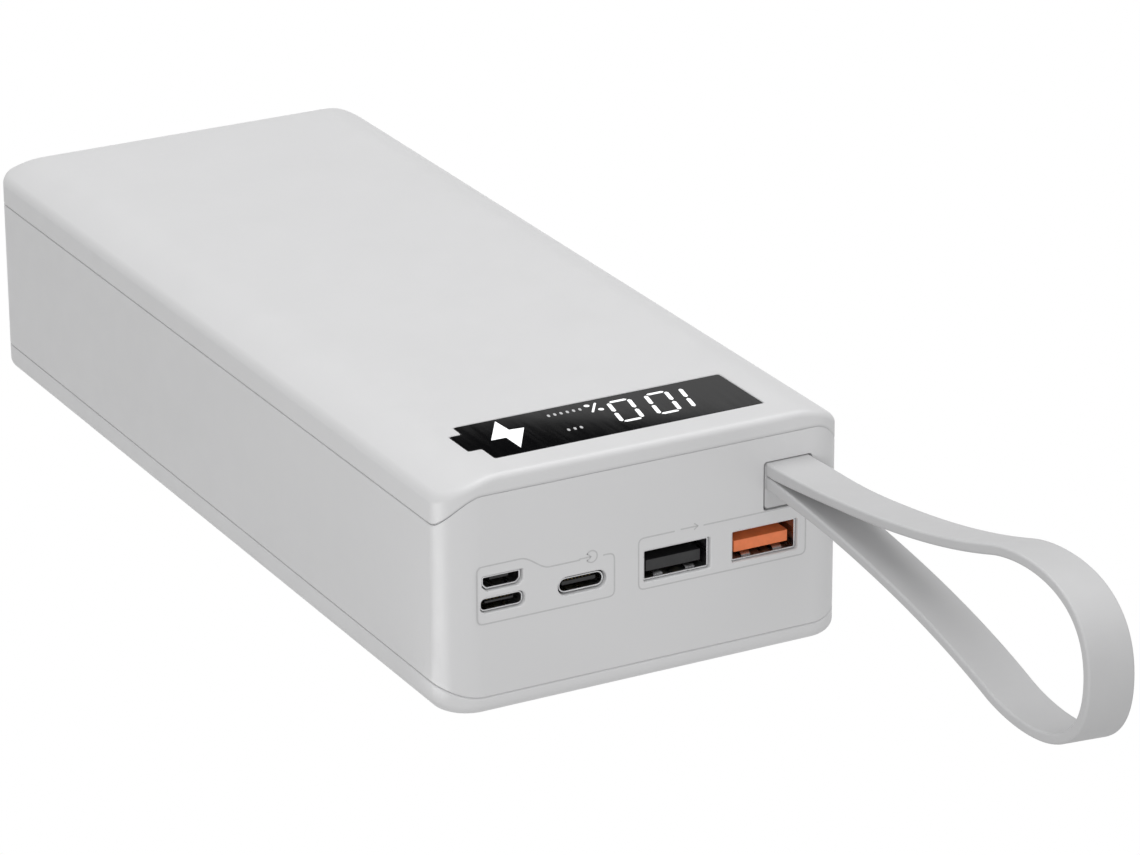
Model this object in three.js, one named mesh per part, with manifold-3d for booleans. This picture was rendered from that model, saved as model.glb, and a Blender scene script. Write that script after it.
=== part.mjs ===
// Power bank: a three-piece plastic case round eighteen cells, with five ports in the front wall,
// a display window in the top, a sprung side button and a moulded strap loop.
// Millimetres, +Z up. The origin is the centre of the flat bottom face, and the ports face -Y.
import * as THREE from 'three';
import { mergeVertices } from 'three/addons/utils/BufferGeometryUtils.js';
import Module from 'manifold-3d';

const wasm = await Module();
wasm.setup();

// Case
const WIDTH = 80;
const LENGTH = 200;
const HEIGHT = 44.5;
const CORNER_R = 7;
const WALL = 2;
const TOP_EDGE_R = 1.2;
const BOTTOM_EDGE_R = 2;
const FRONT = -LENGTH / 2;
const BACK = LENGTH / 2;
const RIGHT = WIDTH / 2;
const GAP = 0.3;

// The top face slopes down to both sides and to the back, over this width of it.
const SHOULDER = { width: 10.5, drop: 4.5, insets: [2.6, 4.4, 6.4, 8.4, 10.5] };
const CEILING = 2.2;

// The two seams: a height along the front wall, and another along the sides and the back.
const TOP_SEAM = { front: 41.3, side: 34.9 };
const BOTTOM_SEAM = { front: 3.2, side: 5 };
const SEAM_BEND_END = THREE.MathUtils.degToRad(88);
const LIP_INSET = WALL + GAP;
const LIP_THICKNESS = 1.2;
const TOP_LIP_BOTTOM = 32;
const BOTTOM_LIP_TOP = 8;

// Display window, measured from the front edge of the top face
const WINDOW = { left: -26.9, right: 26.4, front: FRONT + 6.9, back: FRONT + 22.9 };
const WINDOW_NUB = { left: -29.5, front: FRONT + 11.8, back: FRONT + 19.4 };
const WINDOW_THICKNESS = 0.95;
const WINDOW_SINK = 0.05;
const WINDOW_GAP = 0.12;
const WINDOW_LEDGE = 1.5;

// Ports, by the centre of their opening in the front wall
const USB_A = { width: 13.3, height: 5.9, z: 21.35, leftX: 5.2, rightX: 22.95 };
const USB_C = { width: 9.5, height: 3.4, x: -13.7, z: 20.9 };
const MICRO = { width: 7.9, height: 2.8, x: -29.3, z: 24.6 };
const EIGHT_PIN = { width: 8.7, height: 2.8, x: -29.3, z: 20.55 };
const SHELL_MOUTH = FRONT + WALL + GAP;
const SHEET = 0.3;
const MOUTH_CHAMFER = 0.35;

// Boards
const BOARD_THICKNESS = 1.6;
const BOARD_TOP = 18.4;
const BOARD = { halfWidth: 36, front: FRONT + 3.7, back: FRONT + 25 };
const SCREWS = [[-22.2, -93.4], [14.05, -93.4], [-33, -78], [33, -78]];
const SCREW_HEAD_R = 1.8;
const SCREW_SHANK_R = 0.9;
const SCREW_LENGTH = 8;
const BOSS_R = 2.5;
const BOSS_HOLE_R = 1.15;
const INPUT_BOARD_BOTTOM = 26;
const DISPLAY_BOARD_TOP = 36.4;

// Cells
const CELL_R = 9.2;
const CELL_LENGTH = 65.2;
const CELL_ROWS = 9;
const CELL_PITCH = 18.8;
const CELL_LAYERS = [11.65, 30.85];
const LAST_ROW_Y = 86.8;
const STRIP_THICKNESS = 0.25;
const FOAM_THICKNESS = 2.6;

// Side button
const BUTTON = { y: -86, z: 20.3, width: 12, height: 5, proud: 0.5 };
const BUTTON_CLEARANCE = 0.25;

// Strap
const STRAP = { x: 27.5, z: 33.5, width: 9, thickness: 1.9 };
const STRAP_HINGE = 2.3;
const SLOT = { width: 9.8, bottom: 27, top: 36.2 };

const CORNER_STEPS = 8;
const EDGE_STEPS = 3;
const SEAM_STEPS = 8;
const SMALL_STEPS = 2;
const ROUND_STEPS = 12;

const LOOKS = {
  case: { color: 0xd9d9da, roughness: 0.55, metalness: 0 },
  strap: { color: 0xc6c6c8, roughness: 0.65, metalness: 0 },
  window: { color: 0x0c0c0e, roughness: 0.08, metalness: 0 },
  display: { color: 0x1a1a1c, roughness: 0.5, metalness: 0 },
  board: { color: 0x1f5c37, roughness: 0.45, metalness: 0 },
  steel: { color: 0xb9bbbe, roughness: 0.3, metalness: 1 },
  nickel: { color: 0xc9c5bb, roughness: 0.35, metalness: 1 },
  black: { color: 0x151516, roughness: 0.5, metalness: 0 },
  orange: { color: 0xe8702e, roughness: 0.45, metalness: 0 },
  chip: { color: 0x202022, roughness: 0.6, metalness: 0 },
  ferrite: { color: 0x3c3c3e, roughness: 0.7, metalness: 0 },
  cell: { color: 0x3f7fb5, roughness: 0.4, metalness: 0 },
  separator: { color: 0xd8cfa8, roughness: 0.8, metalness: 0 },
  foam: { color: 0x2c2c2e, roughness: 0.95, metalness: 0 },
  ribbon: { color: 0xb5742c, roughness: 0.4, metalness: 0 },
  red: { color: 0xb32222, roughness: 0.5, metalness: 0 },
  wireBlack: { color: 0x1c1c1c, roughness: 0.5, metalness: 0 },
};

const powerBank = new THREE.Group();

function addNode(name, geometry, look) {
  const mesh = new THREE.Mesh(geometry, new THREE.MeshStandardMaterial(LOOKS[look]));
  mesh.name = name;
  powerBank.add(mesh);
}

// Solids for booleans

function toSolid(geometry) {
  const bare = geometry.clone();
  bare.deleteAttribute('normal');
  bare.deleteAttribute('uv');
  const merged = mergeVertices(bare, 1e-4);
  return new wasm.Manifold(new wasm.Mesh({
    numProp: 3,
    vertProperties: new Float32Array(merged.attributes.position.array),
    triVerts: new Uint32Array(merged.index.array),
  }));
}

function toGeometry(solid) {
  const mesh = solid.getMesh();
  const geometry = new THREE.BufferGeometry();
  geometry.setAttribute('position', new THREE.BufferAttribute(mesh.vertProperties, 3));
  geometry.setIndex(new THREE.BufferAttribute(mesh.triVerts, 1));
  return geometry;
}

// Geometry helpers

function box(x0, x1, y0, y1, z0, z1) {
  const geometry = new THREE.BoxGeometry(x1 - x0, y1 - y0, z1 - z0);
  return geometry.translate((x0 + x1) / 2, (y0 + y1) / 2, (z0 + z1) / 2);
}

function upright(radius, x, y, z0, z1) {
  const geometry = new THREE.CylinderGeometry(radius, radius, z1 - z0, ROUND_STEPS);
  return geometry.rotateX(Math.PI / 2).translate(x, y, (z0 + z1) / 2);
}

function roundedRect(width, height, radius) {
  const shape = new THREE.Shape();
  const x = width / 2 - radius;
  const y = height / 2 - radius;
  shape.absarc(x, y, radius, 0, Math.PI / 2);
  shape.absarc(-x, y, radius, Math.PI / 2, Math.PI);
  shape.absarc(-x, -y, radius, Math.PI, 1.5 * Math.PI);
  shape.absarc(x, -y, radius, 1.5 * Math.PI, 2 * Math.PI);
  return shape;
}

// A rectangle whose two lower corners are cut off at an angle
function cutCornerRect(width, height, cut) {
  const x = width / 2;
  const y = height / 2;
  const shape = new THREE.Shape();
  shape.moveTo(x, y);
  shape.lineTo(-x, y);
  shape.lineTo(-x, -y + cut);
  shape.lineTo(-x + cut, -y);
  shape.lineTo(x - cut, -y);
  shape.lineTo(x, -y + cut);
  return shape;
}

// A closed solid through rings of equal point count, stacked upwards and each turning anticlockwise
function loft(rings) {
  const count = rings[0].length;
  const last = (rings.length - 1) * count;
  const index = [];
  for (let start = 0; start < last; start += count) {
    for (let i = 0; i < count; i += 1) {
      const a = start + i;
      const b = start + (i + 1) % count;
      index.push(a, b, b + count);
      index.push(a, b + count, a + count);
    }
  }
  for (let i = 1; i < count - 1; i += 1) {
    index.push(0, i + 1, i);
    index.push(last, last + i, last + i + 1);
  }
  const geometry = new THREE.BufferGeometry().setFromPoints(rings.flat());
  geometry.setIndex(index);
  return geometry;
}

function ringOf(shape, z, steps) {
  const points = shape.getPoints(steps);
  if (points[0].distanceTo(points[points.length - 1]) < 1e-6) points.pop();
  return points.map((p) => new THREE.Vector3(p.x, p.y, z));
}

// The case's plan outline drawn in by inset, with a point wherever a shoulder begins on a straight run
function planOutline(inset) {
  const radius = Math.max(CORNER_R - inset, 0.5);
  const runX = RIGHT - inset - radius;
  const runY = BACK - inset - radius;
  const shoulderX = Math.min(RIGHT - SHOULDER.width, runX - 0.4);
  const shoulderY = Math.min(BACK - SHOULDER.width, runY - 0.4);
  const middleX = (runX + shoulderX) / 2;
  const across = [middleX, shoulderX, -shoulderX, -middleX];
  const points = [];
  const addCorner = (signX, signY, start) => {
    for (let i = 0; i <= CORNER_STEPS; i += 1) {
      const turn = start + (i / CORNER_STEPS) * Math.PI / 2;
      const x = signX * runX + radius * Math.cos(turn);
      points.push(new THREE.Vector2(x, signY * runY + radius * Math.sin(turn)));
    }
  };
  addCorner(1, 1, 0);
  across.forEach((x) => points.push(new THREE.Vector2(x, BACK - inset)));
  addCorner(-1, 1, Math.PI / 2);
  points.push(new THREE.Vector2(inset - RIGHT, shoulderY));
  addCorner(-1, -1, Math.PI);
  across.forEach((x) => points.push(new THREE.Vector2(-x, FRONT + inset)));
  addCorner(1, -1, 1.5 * Math.PI);
  points.push(new THREE.Vector2(RIGHT - inset, shoulderY));
  return points;
}

// How far the top face lies below its own middle
function shoulderDrop(x, y) {
  const across = Math.max(Math.abs(x) - (RIGHT - SHOULDER.width), 0) / SHOULDER.width;
  const along = Math.max(y - (BACK - SHOULDER.width), 0) / SHOULDER.width;
  return SHOULDER.drop * Math.hypot(across ** 2, along ** 2);
}

function caseRing(inset, z) {
  return planOutline(inset).map((p) => new THREE.Vector3(p.x, p.y, z));
}

// A ring that lies a given depth below the top face
function topRing(inset, depth) {
  return planOutline(inset).map((p) => new THREE.Vector3(p.x, p.y, HEIGHT - depth - shoulderDrop(p.x, p.y)));
}

// A shape drawn in (Y, Z), extruded along X from x0 to x1
function acrossX(shape, x0, x1) {
  const options = { depth: x1 - x0, bevelEnabled: false, curveSegments: SMALL_STEPS };
  const turn = new THREE.Matrix4().makeBasis(
    new THREE.Vector3(0, 1, 0),
    new THREE.Vector3(0, 0, 1),
    new THREE.Vector3(1, 0, 0),
  );
  return new THREE.ExtrudeGeometry(shape, options).applyMatrix4(turn).translate(x0, 0, 0);
}

// A shape drawn in (X, Z) about its own centre, extruded along Y from y0 to y1
function alongY(shape, x, z, y0, y1) {
  const options = { depth: y1 - y0, bevelEnabled: false, curveSegments: SMALL_STEPS };
  return new THREE.ExtrudeGeometry(shape, options).rotateX(Math.PI / 2).translate(x, y1, z);
}

function alongZ(shape, z0, z1) {
  const options = { depth: z1 - z0, bevelEnabled: false };
  return new THREE.ExtrudeGeometry(shape, options).translate(0, 0, z0);
}

// Case

function caseBody() {
  const rings = [];
  for (let i = 0; i <= EDGE_STEPS; i += 1) {
    const turn = (i / EDGE_STEPS) * Math.PI / 2;
    rings.push(caseRing(BOTTOM_EDGE_R * (1 - Math.sin(turn)), BOTTOM_EDGE_R * (1 - Math.cos(turn))));
  }
  for (let i = 0; i <= EDGE_STEPS; i += 1) {
    const turn = (i / EDGE_STEPS) * Math.PI / 2;
    rings.push(topRing(TOP_EDGE_R * (1 - Math.cos(turn)), TOP_EDGE_R * (1 - Math.sin(turn))));
  }
  SHOULDER.insets.forEach((inset) => rings.push(topRing(inset, 0)));
  return toSolid(loft(rings));
}

// The space inside the case, whose ceiling follows the top face
function caseSpace() {
  const rings = [caseRing(WALL, WALL), topRing(WALL, CEILING)];
  SHOULDER.insets.forEach((inset) => rings.push(topRing(inset, CEILING)));
  return toSolid(loft(rings));
}

function hollow(inset, z0, z1) {
  return toSolid(loft([caseRing(inset, z0), caseRing(inset, z1)]));
}

// Everything above a seam. The seam leaves the front wall's height in the front corners.
function aboveSeam(seam, offset) {
  const outside = LENGTH;
  const shape = new THREE.Shape();
  shape.moveTo(-outside, seam.front + offset);
  for (let i = 0; i <= SEAM_STEPS; i += 1) {
    const turn = (i / SEAM_STEPS) * SEAM_BEND_END;
    const fall = THREE.MathUtils.smoothstep(i / SEAM_STEPS, 0, 1);
    const y = FRONT + CORNER_R * (1 - Math.cos(turn));
    shape.lineTo(y, THREE.MathUtils.lerp(seam.front, seam.side, fall) + offset);
  }
  shape.lineTo(outside, seam.side + offset);
  shape.lineTo(outside, 2 * HEIGHT);
  shape.lineTo(-outside, 2 * HEIGHT);
  return toSolid(acrossX(shape, -WIDTH, WIDTH));
}

function lip(z0, z1) {
  return hollow(LIP_INSET, z0, z1).subtract(hollow(LIP_INSET + LIP_THICKNESS, z0 - 1, z1 + 1));
}

// The window's outline is a battery lying on its side. A positive grow moves every edge out.
function windowOutline(grow) {
  const shape = new THREE.Shape();
  shape.moveTo(WINDOW.right + grow, WINDOW.front - grow);
  shape.lineTo(WINDOW.right + grow, WINDOW.back + grow);
  shape.lineTo(WINDOW.left - grow, WINDOW.back + grow);
  shape.lineTo(WINDOW.left - grow, WINDOW_NUB.back + grow);
  shape.lineTo(WINDOW_NUB.left - grow, WINDOW_NUB.back + grow);
  shape.lineTo(WINDOW_NUB.left - grow, WINDOW_NUB.front - grow);
  shape.lineTo(WINDOW.left - grow, WINDOW_NUB.front - grow);
  shape.lineTo(WINDOW.left - grow, WINDOW.front - grow);
  return shape;
}

const WINDOW_FLOOR = HEIGHT - WINDOW_SINK - WINDOW_THICKNESS;

function topCover() {
  const strapNotch = box(STRAP.x - 7, STRAP.x + 7, FRONT, FRONT + 4, TOP_LIP_BOTTOM - 1, SLOT.top + 2);
  const skin = caseBody().subtract(caseSpace());
  const rim = lip(TOP_LIP_BOTTOM, HEIGHT).subtract(toSolid(strapNotch)).intersect(caseBody());
  const recess = alongZ(windowOutline(WINDOW_GAP), WINDOW_FLOOR, HEIGHT + 1);
  const sight = alongZ(windowOutline(-WINDOW_LEDGE), HEIGHT - 2 * WALL, HEIGHT);
  return skin.intersect(aboveSeam(TOP_SEAM, GAP / 2))
    .add(rim)
    .subtract(toSolid(recess))
    .subtract(toSolid(sight));
}

function bottomCover() {
  const skin = caseBody().subtract(caseSpace());
  let cover = skin.subtract(aboveSeam(BOTTOM_SEAM, -GAP / 2)).add(lip(WALL - 0.1, BOTTOM_LIP_TOP));
  const bossTop = BOARD_TOP - BOARD_THICKNESS - 0.05;
  for (const [x, y] of SCREWS) {
    cover = cover.add(toSolid(upright(BOSS_R, x, y, WALL - 0.1, bossTop)));
    cover = cover.subtract(toSolid(upright(BOSS_HOLE_R, x, y, bossTop - SCREW_LENGTH - 1, bossTop + 1)));
  }
  return cover;
}

// A hole through the front wall, with a chamfer round its mouth
function mouthCutter(outline, x, z) {
  const straight = alongY(outline(0), x, z, FRONT - 2, FRONT + 2 * WALL);
  const rings = [0, 2 * MOUTH_CHAMFER].map((out) => ringOf(outline(out), out, SMALL_STEPS));
  const flare = loft(rings).rotateX(Math.PI / 2).translate(x, FRONT + MOUTH_CHAMFER, z);
  return toSolid(straight).add(toSolid(flare));
}

const portOutline = {
  usbA: (grow) => roundedRect(USB_A.width + 2 * grow, USB_A.height + 2 * grow, 0.4 + grow),
  usbC: (grow) => roundedRect(USB_C.width + 2 * grow, USB_C.height + 2 * grow, USB_C.height / 2 - 0.01 + grow),
  micro: (grow) => cutCornerRect(MICRO.width + 2 * grow, MICRO.height + 2 * grow, 0.9 + grow / 2),
  eightPin: (grow) => roundedRect(EIGHT_PIN.width + 2 * grow, EIGHT_PIN.height + 2 * grow, 1.2 + grow),
};

function buttonOutline(grow) {
  return roundedRect(BUTTON.width + 2 * grow, BUTTON.height + 2 * grow, BUTTON.height / 2 - 0.01 + grow);
}

// The button's outline extruded along X, about the button's own centre
function buttonSlab(grow, x0, x1) {
  return acrossX(buttonOutline(grow), x0, x1).translate(0, BUTTON.y, BUTTON.z);
}

function middleFrame() {
  const slotHeight = SLOT.top - SLOT.bottom;
  const slotShape = roundedRect(SLOT.width, slotHeight, 0.6);
  const slotZ = (SLOT.top + SLOT.bottom) / 2;
  return caseBody().subtract(hollow(WALL, -1, HEIGHT + 1))
    .intersect(aboveSeam(BOTTOM_SEAM, GAP / 2))
    .subtract(aboveSeam(TOP_SEAM, -GAP / 2))
    .subtract(mouthCutter(portOutline.usbA, USB_A.leftX, USB_A.z))
    .subtract(mouthCutter(portOutline.usbA, USB_A.rightX, USB_A.z))
    .subtract(mouthCutter(portOutline.usbC, USB_C.x, USB_C.z))
    .subtract(mouthCutter(portOutline.micro, MICRO.x, MICRO.z))
    .subtract(mouthCutter(portOutline.eightPin, EIGHT_PIN.x, EIGHT_PIN.z))
    .subtract(toSolid(alongY(slotShape, STRAP.x, slotZ, FRONT - 1, FRONT + 2 * WALL)))
    .subtract(toSolid(buttonSlab(BUTTON_CLEARANCE, RIGHT - 2 * WALL, RIGHT + 1)));
}

addNode('top_cover', toGeometry(topCover()), 'case');
addNode('middle_frame', toGeometry(middleFrame()), 'case');
addNode('bottom_cover', toGeometry(bottomCover()), 'case');

// Display

const MODULE_INSET = 2;
const MODULE = {
  left: WINDOW.left + MODULE_INSET,
  right: WINDOW.right - MODULE_INSET,
  front: WINDOW.front + MODULE_INSET,
  back: WINDOW.back - MODULE_INSET,
};
const DISPLAY_BOARD = { halfWidth: 30, front: FRONT + 7.5, back: FRONT + 23.5 };
const RIBBON = { left: -24, right: -16, thickness: 0.3 };

function ribbon() {
  const shape = new THREE.Shape();
  const top = DISPLAY_BOARD_TOP - BOARD_THICKNESS;
  const half = RIBBON.thickness / 2;
  shape.moveTo(-78, top - 0.1);
  shape.bezierCurveTo(-78, top - 7, -74.5 - half, 29, -74.5 - half, 25);
  shape.bezierCurveTo(-74.5 - half, 21, -78, 22, -78, BOARD_TOP + 0.1);
  shape.lineTo(-78 + 2 * half, BOARD_TOP + 0.1);
  shape.bezierCurveTo(-78 + 2 * half, 22, -74.5 + half, 21, -74.5 + half, 25);
  shape.bezierCurveTo(-74.5 + half, 29, -78 + 2 * half, top - 7, -78 + 2 * half, top - 0.1);
  return acrossX(shape, RIBBON.left, RIBBON.right);
}

addNode('display_window', alongZ(windowOutline(0), WINDOW_FLOOR + 0.05, HEIGHT - WINDOW_SINK), 'window');
addNode(
  'display_module',
  box(MODULE.left, MODULE.right, MODULE.front, MODULE.back, DISPLAY_BOARD_TOP + 0.05, WINDOW_FLOOR - 0.2),
  'display',
);
addNode(
  'display_board',
  box(
    -DISPLAY_BOARD.halfWidth,
    DISPLAY_BOARD.halfWidth,
    DISPLAY_BOARD.front,
    DISPLAY_BOARD.back,
    DISPLAY_BOARD_TOP - BOARD_THICKNESS,
    DISPLAY_BOARD_TOP,
  ),
  'board',
);
addNode('display_ribbon', ribbon(), 'ribbon');

// Boards and what stands on them

function mainBoard() {
  const bottom = BOARD_TOP - BOARD_THICKNESS;
  let board = toSolid(box(-BOARD.halfWidth, BOARD.halfWidth, BOARD.front, BOARD.back, bottom, BOARD_TOP));
  for (const [x, y] of SCREWS) {
    board = board.subtract(toSolid(upright(BOSS_HOLE_R, x, y, bottom - 1, BOARD_TOP + 1)));
  }
  return board;
}

function latheUp(profile, x, y, z) {
  const points = profile.map(([r, h]) => new THREE.Vector2(r, h));
  return new THREE.LatheGeometry(points, ROUND_STEPS).rotateX(Math.PI / 2).translate(x, y, z);
}

function screw(x, y) {
  const profile = [
    [0, -SCREW_LENGTH],
    [SCREW_SHANK_R, -SCREW_LENGTH + 0.8],
    [SCREW_SHANK_R, 0],
    [SCREW_HEAD_R, 0],
    [SCREW_HEAD_R, 0.8],
    [SCREW_HEAD_R - 0.5, 1.3],
    [0, 1.3],
  ];
  return latheUp(profile, x, y, BOARD_TOP + 0.05);
}

addNode('main_board', toGeometry(mainBoard()), 'board');
SCREWS.forEach(([x, y], i) => addNode(`board_screw_${i + 1}`, screw(x, y), 'steel'));

// Each part that stands on the main board, by its left and front edges and its size
const ON_BOARD = BOARD_TOP + 0.05;
const BOARD_PARTS = [
  { name: 'charge_chip', left: -30.5, front: -84.5, side: 5, height: 0.9, look: 'chip' },
  { name: 'inductor_left', left: -13.5, front: -83, side: 7, height: 4.2, look: 'ferrite' },
  { name: 'inductor_right', left: -5, front: -83, side: 7, height: 4.2, look: 'ferrite' },
  { name: 'controller_chip', left: 15, front: -83, side: 7, height: 0.9, look: 'chip' },
];
for (const { name, left, front, side, height, look } of BOARD_PARTS) {
  addNode(name, box(left, left + side, front, front + side, ON_BOARD, ON_BOARD + height), look);
}
const CAPACITOR = { x: 8, y: -79.2, radius: 3.15, height: 5.8, edge: 0.3 };
addNode('capacitor', latheUp([
  [0, 0],
  [CAPACITOR.radius, 0],
  [CAPACITOR.radius, CAPACITOR.height - CAPACITOR.edge],
  [CAPACITOR.radius - CAPACITOR.edge, CAPACITOR.height],
  [0, CAPACITOR.height],
], CAPACITOR.x, CAPACITOR.y, ON_BOARD), 'steel');

// The small board over the two stacked input ports, and the pin header that carries it
const INPUT_BOARD = { left: -34.2, right: -24.4, front: FRONT + 2.8, back: FRONT + 12, thickness: 0.8 };
const HEADER = { inset: 0.8, depth: 2.2 };
addNode('input_board', box(
  INPUT_BOARD.left,
  INPUT_BOARD.right,
  INPUT_BOARD.front,
  INPUT_BOARD.back,
  INPUT_BOARD_BOTTOM,
  INPUT_BOARD_BOTTOM + INPUT_BOARD.thickness,
), 'board');
addNode('input_header', box(
  INPUT_BOARD.left + HEADER.inset,
  INPUT_BOARD.right - HEADER.inset,
  INPUT_BOARD.back - HEADER.inset - HEADER.depth,
  INPUT_BOARD.back - HEADER.inset,
  ON_BOARD,
  INPUT_BOARD_BOTTOM - 0.05,
), 'black');

// Port shells and tongues

function sleeve(shape, hole, x, z, depth) {
  shape.holes.push(hole);
  return toSolid(alongY(shape, x, z, SHELL_MOUTH, SHELL_MOUTH + depth));
}

const USB_A_SHELL = { width: 13.1, height: 5.72, depth: 14 };
const USB_A_TONGUE = { halfWidth: 5.5, bottom: -2.05, top: -0.15 };
const USB_A_TAB_X = [-3.2, 3.2];

function usbAShell(x) {
  const { width, height, depth } = USB_A_SHELL;
  const outer = roundedRect(width, height, 0.5);
  const inner = roundedRect(width - 2 * SHEET, height - 2 * SHEET, 0.2);
  let shell = sleeve(outer, inner, x, USB_A.z, depth);
  const floor = USB_A.z - height / 2 + SHEET;
  for (const tabX of USB_A_TAB_X) {
    const y = SHELL_MOUTH + 0.5;
    const tab = box(x + tabX - 0.9, x + tabX + 0.9, y, y + 3, floor - 0.1, floor + 0.28);
    shell = shell.add(toSolid(tab));
  }
  return toGeometry(shell);
}

function usbATongue(x) {
  const { width, height, depth } = USB_A_SHELL;
  const back = SHELL_MOUTH + depth - 0.1;
  const halfWidth = width / 2 - SHEET - 0.1;
  const halfHeight = height / 2 - SHEET - 0.1;
  const base = box(x - halfWidth, x + halfWidth, back - 2.5, back, USB_A.z - halfHeight, USB_A.z + halfHeight);
  const { halfWidth: reach, bottom, top } = USB_A_TONGUE;
  const tongue = box(x - reach, x + reach, SHELL_MOUTH + 0.4, back - 2, USB_A.z + bottom, USB_A.z + top);
  return toGeometry(toSolid(base).add(toSolid(tongue)));
}

// A small port: a sleeve, and a thin tongue on a base that closes the sleeve's back
function smallPort({ port, outer, inner, base, tongue, depth }) {
  const shell = sleeve(outer, inner, port.x, port.z, depth);
  const back = SHELL_MOUTH + depth - 0.1;
  const plug = toSolid(alongY(base, port.x, port.z, back - 1.2, back));
  const blade = toSolid(alongY(tongue, port.x, port.z + (port.tongueRise ?? 0), SHELL_MOUTH + 0.6, back - 1));
  return { shell: toGeometry(shell), tongue: toGeometry(plug.add(blade)) };
}

const usbC = smallPort({
  port: USB_C,
  outer: roundedRect(8.9, 3.1, 1.54),
  inner: roundedRect(8.3, 2.5, 1.24),
  base: roundedRect(8.1, 2.3, 1.14),
  tongue: roundedRect(6.7, 0.7, 0.1),
  depth: 7.3,
});
const micro = smallPort({
  port: { ...MICRO, tongueRise: 0.35 },
  outer: cutCornerRect(7.5, 2.5, 0.8),
  inner: cutCornerRect(6.9, 1.9, 0.65),
  base: cutCornerRect(6.7, 1.7, 0.6),
  tongue: roundedRect(3.7, 0.6, 0.1),
  depth: 5,
});
const eightPin = smallPort({
  port: EIGHT_PIN,
  outer: roundedRect(8.4, 2.6, 1.1),
  inner: roundedRect(7.8, 2, 0.8),
  base: roundedRect(7.6, 1.8, 0.7),
  tongue: roundedRect(5.6, 0.4, 0.05),
  depth: 6.5,
});

addNode('usb_a_shell_left', usbAShell(USB_A.leftX), 'steel');
addNode('usb_a_shell_right', usbAShell(USB_A.rightX), 'steel');
addNode('usb_a_tongue_black', usbATongue(USB_A.leftX), 'black');
addNode('usb_a_tongue_orange', usbATongue(USB_A.rightX), 'orange');
addNode('usb_c_shell', usbC.shell, 'steel');
addNode('usb_c_tongue', usbC.tongue, 'black');
addNode('micro_usb_shell', micro.shell, 'steel');
addNode('micro_usb_tongue', micro.tongue, 'black');
addNode('eight_pin_shell', eightPin.shell, 'steel');
addNode('eight_pin_contacts', eightPin.tongue, 'black');

// Side button: the cap pushes the switch's plunger, and both slide in along -X.

const SWITCH = { left: 32.4, right: 35.8, halfWidth: 3, height: 3.6 };
const PLUNGER = { half: 0.9, tip: 36.6, root: 34.6 };
const FLANGE = { inner: 36.7, outer: 37.6, grow: 1 };

function tactileSwitch() {
  const { left, right, halfWidth, height } = SWITCH;
  const { y, z } = BUTTON;
  const body = box(left, right, y - halfWidth, y + halfWidth, ON_BOARD, ON_BOARD + height);
  const reach = PLUNGER.half + 0.1;
  const well = box(left + 1.4, right + 1, y - reach, y + reach, z - reach, z + reach);
  return toSolid(body).subtract(toSolid(well));
}

function plunger() {
  const { half, tip, root } = PLUNGER;
  return box(root, tip, BUTTON.y - half, BUTTON.y + half, BUTTON.z - half, BUTTON.z + half);
}

function buttonCap() {
  const face = RIGHT + BUTTON.proud;
  const stem = toSolid(buttonSlab(0, FLANGE.inner, face - 0.3));
  const crown = toSolid(buttonSlab(-0.3, face - 0.35, face));
  const flange = toSolid(buttonSlab(FLANGE.grow, FLANGE.inner, FLANGE.outer));
  return stem.add(crown).add(flange);
}

addNode('tactile_switch', toGeometry(tactileSwitch()), 'black');
addNode('switch_plunger', plunger(), 'black');
addNode('button_cap', toGeometry(buttonCap()), 'case');

// Cells, with their positive ends towards +X

const CELL_CAP = { radius: 4, height: 0.9 };

function cell(y, z) {
  const shoulder = CELL_LENGTH - CELL_CAP.height;
  const profile = [
    [0, 0],
    [CELL_R, 0],
    [CELL_R, shoulder],
    [CELL_CAP.radius, shoulder],
    [CELL_CAP.radius, CELL_LENGTH],
    [0, CELL_LENGTH],
  ];
  const points = profile.map(([r, h]) => new THREE.Vector2(r, h));
  const geometry = new THREE.LatheGeometry(points, ROUND_STEPS);
  return geometry.rotateZ(-Math.PI / 2).translate(-CELL_LENGTH / 2, y, z);
}

let cellNumber = 0;
for (const z of CELL_LAYERS) {
  for (let row = 0; row < CELL_ROWS; row += 1) {
    cellNumber += 1;
    addNode(`cell_${String(cellNumber).padStart(2, '0')}`, cell(LAST_ROW_Y - row * CELL_PITCH, z), 'cell');
  }
}

const PACK_BACK = LAST_ROW_Y + CELL_R;
const PACK_FRONT = LAST_ROW_Y - (CELL_ROWS - 1) * CELL_PITCH - CELL_R;
const SPLIT_Z = (CELL_LAYERS[0] + CELL_LAYERS[1]) / 2;

// Two bands along the layers, joined by cross links, with a solder tab towards the board
function nickelStrip(x0) {
  const half = 4;
  const x1 = x0 + STRIP_THICKNESS;
  const [lower, upper] = CELL_LAYERS;
  let strip = toSolid(box(x0, x1, PACK_FRONT + 3, PACK_BACK - 3, lower - half, upper + half));
  strip = strip.add(toSolid(box(x0, x1, PACK_FRONT - 2, PACK_FRONT + 4, upper - half, upper)));
  for (let row = 0; row < CELL_ROWS - 1; row += 2) {
    const y = LAST_ROW_Y - row * CELL_PITCH;
    const pane = box(x0 - 1, x1 + 1, y - 2 * CELL_PITCH + half, y - half, lower + half, upper - half);
    strip = strip.subtract(toSolid(pane));
  }
  return toGeometry(strip);
}

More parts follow.
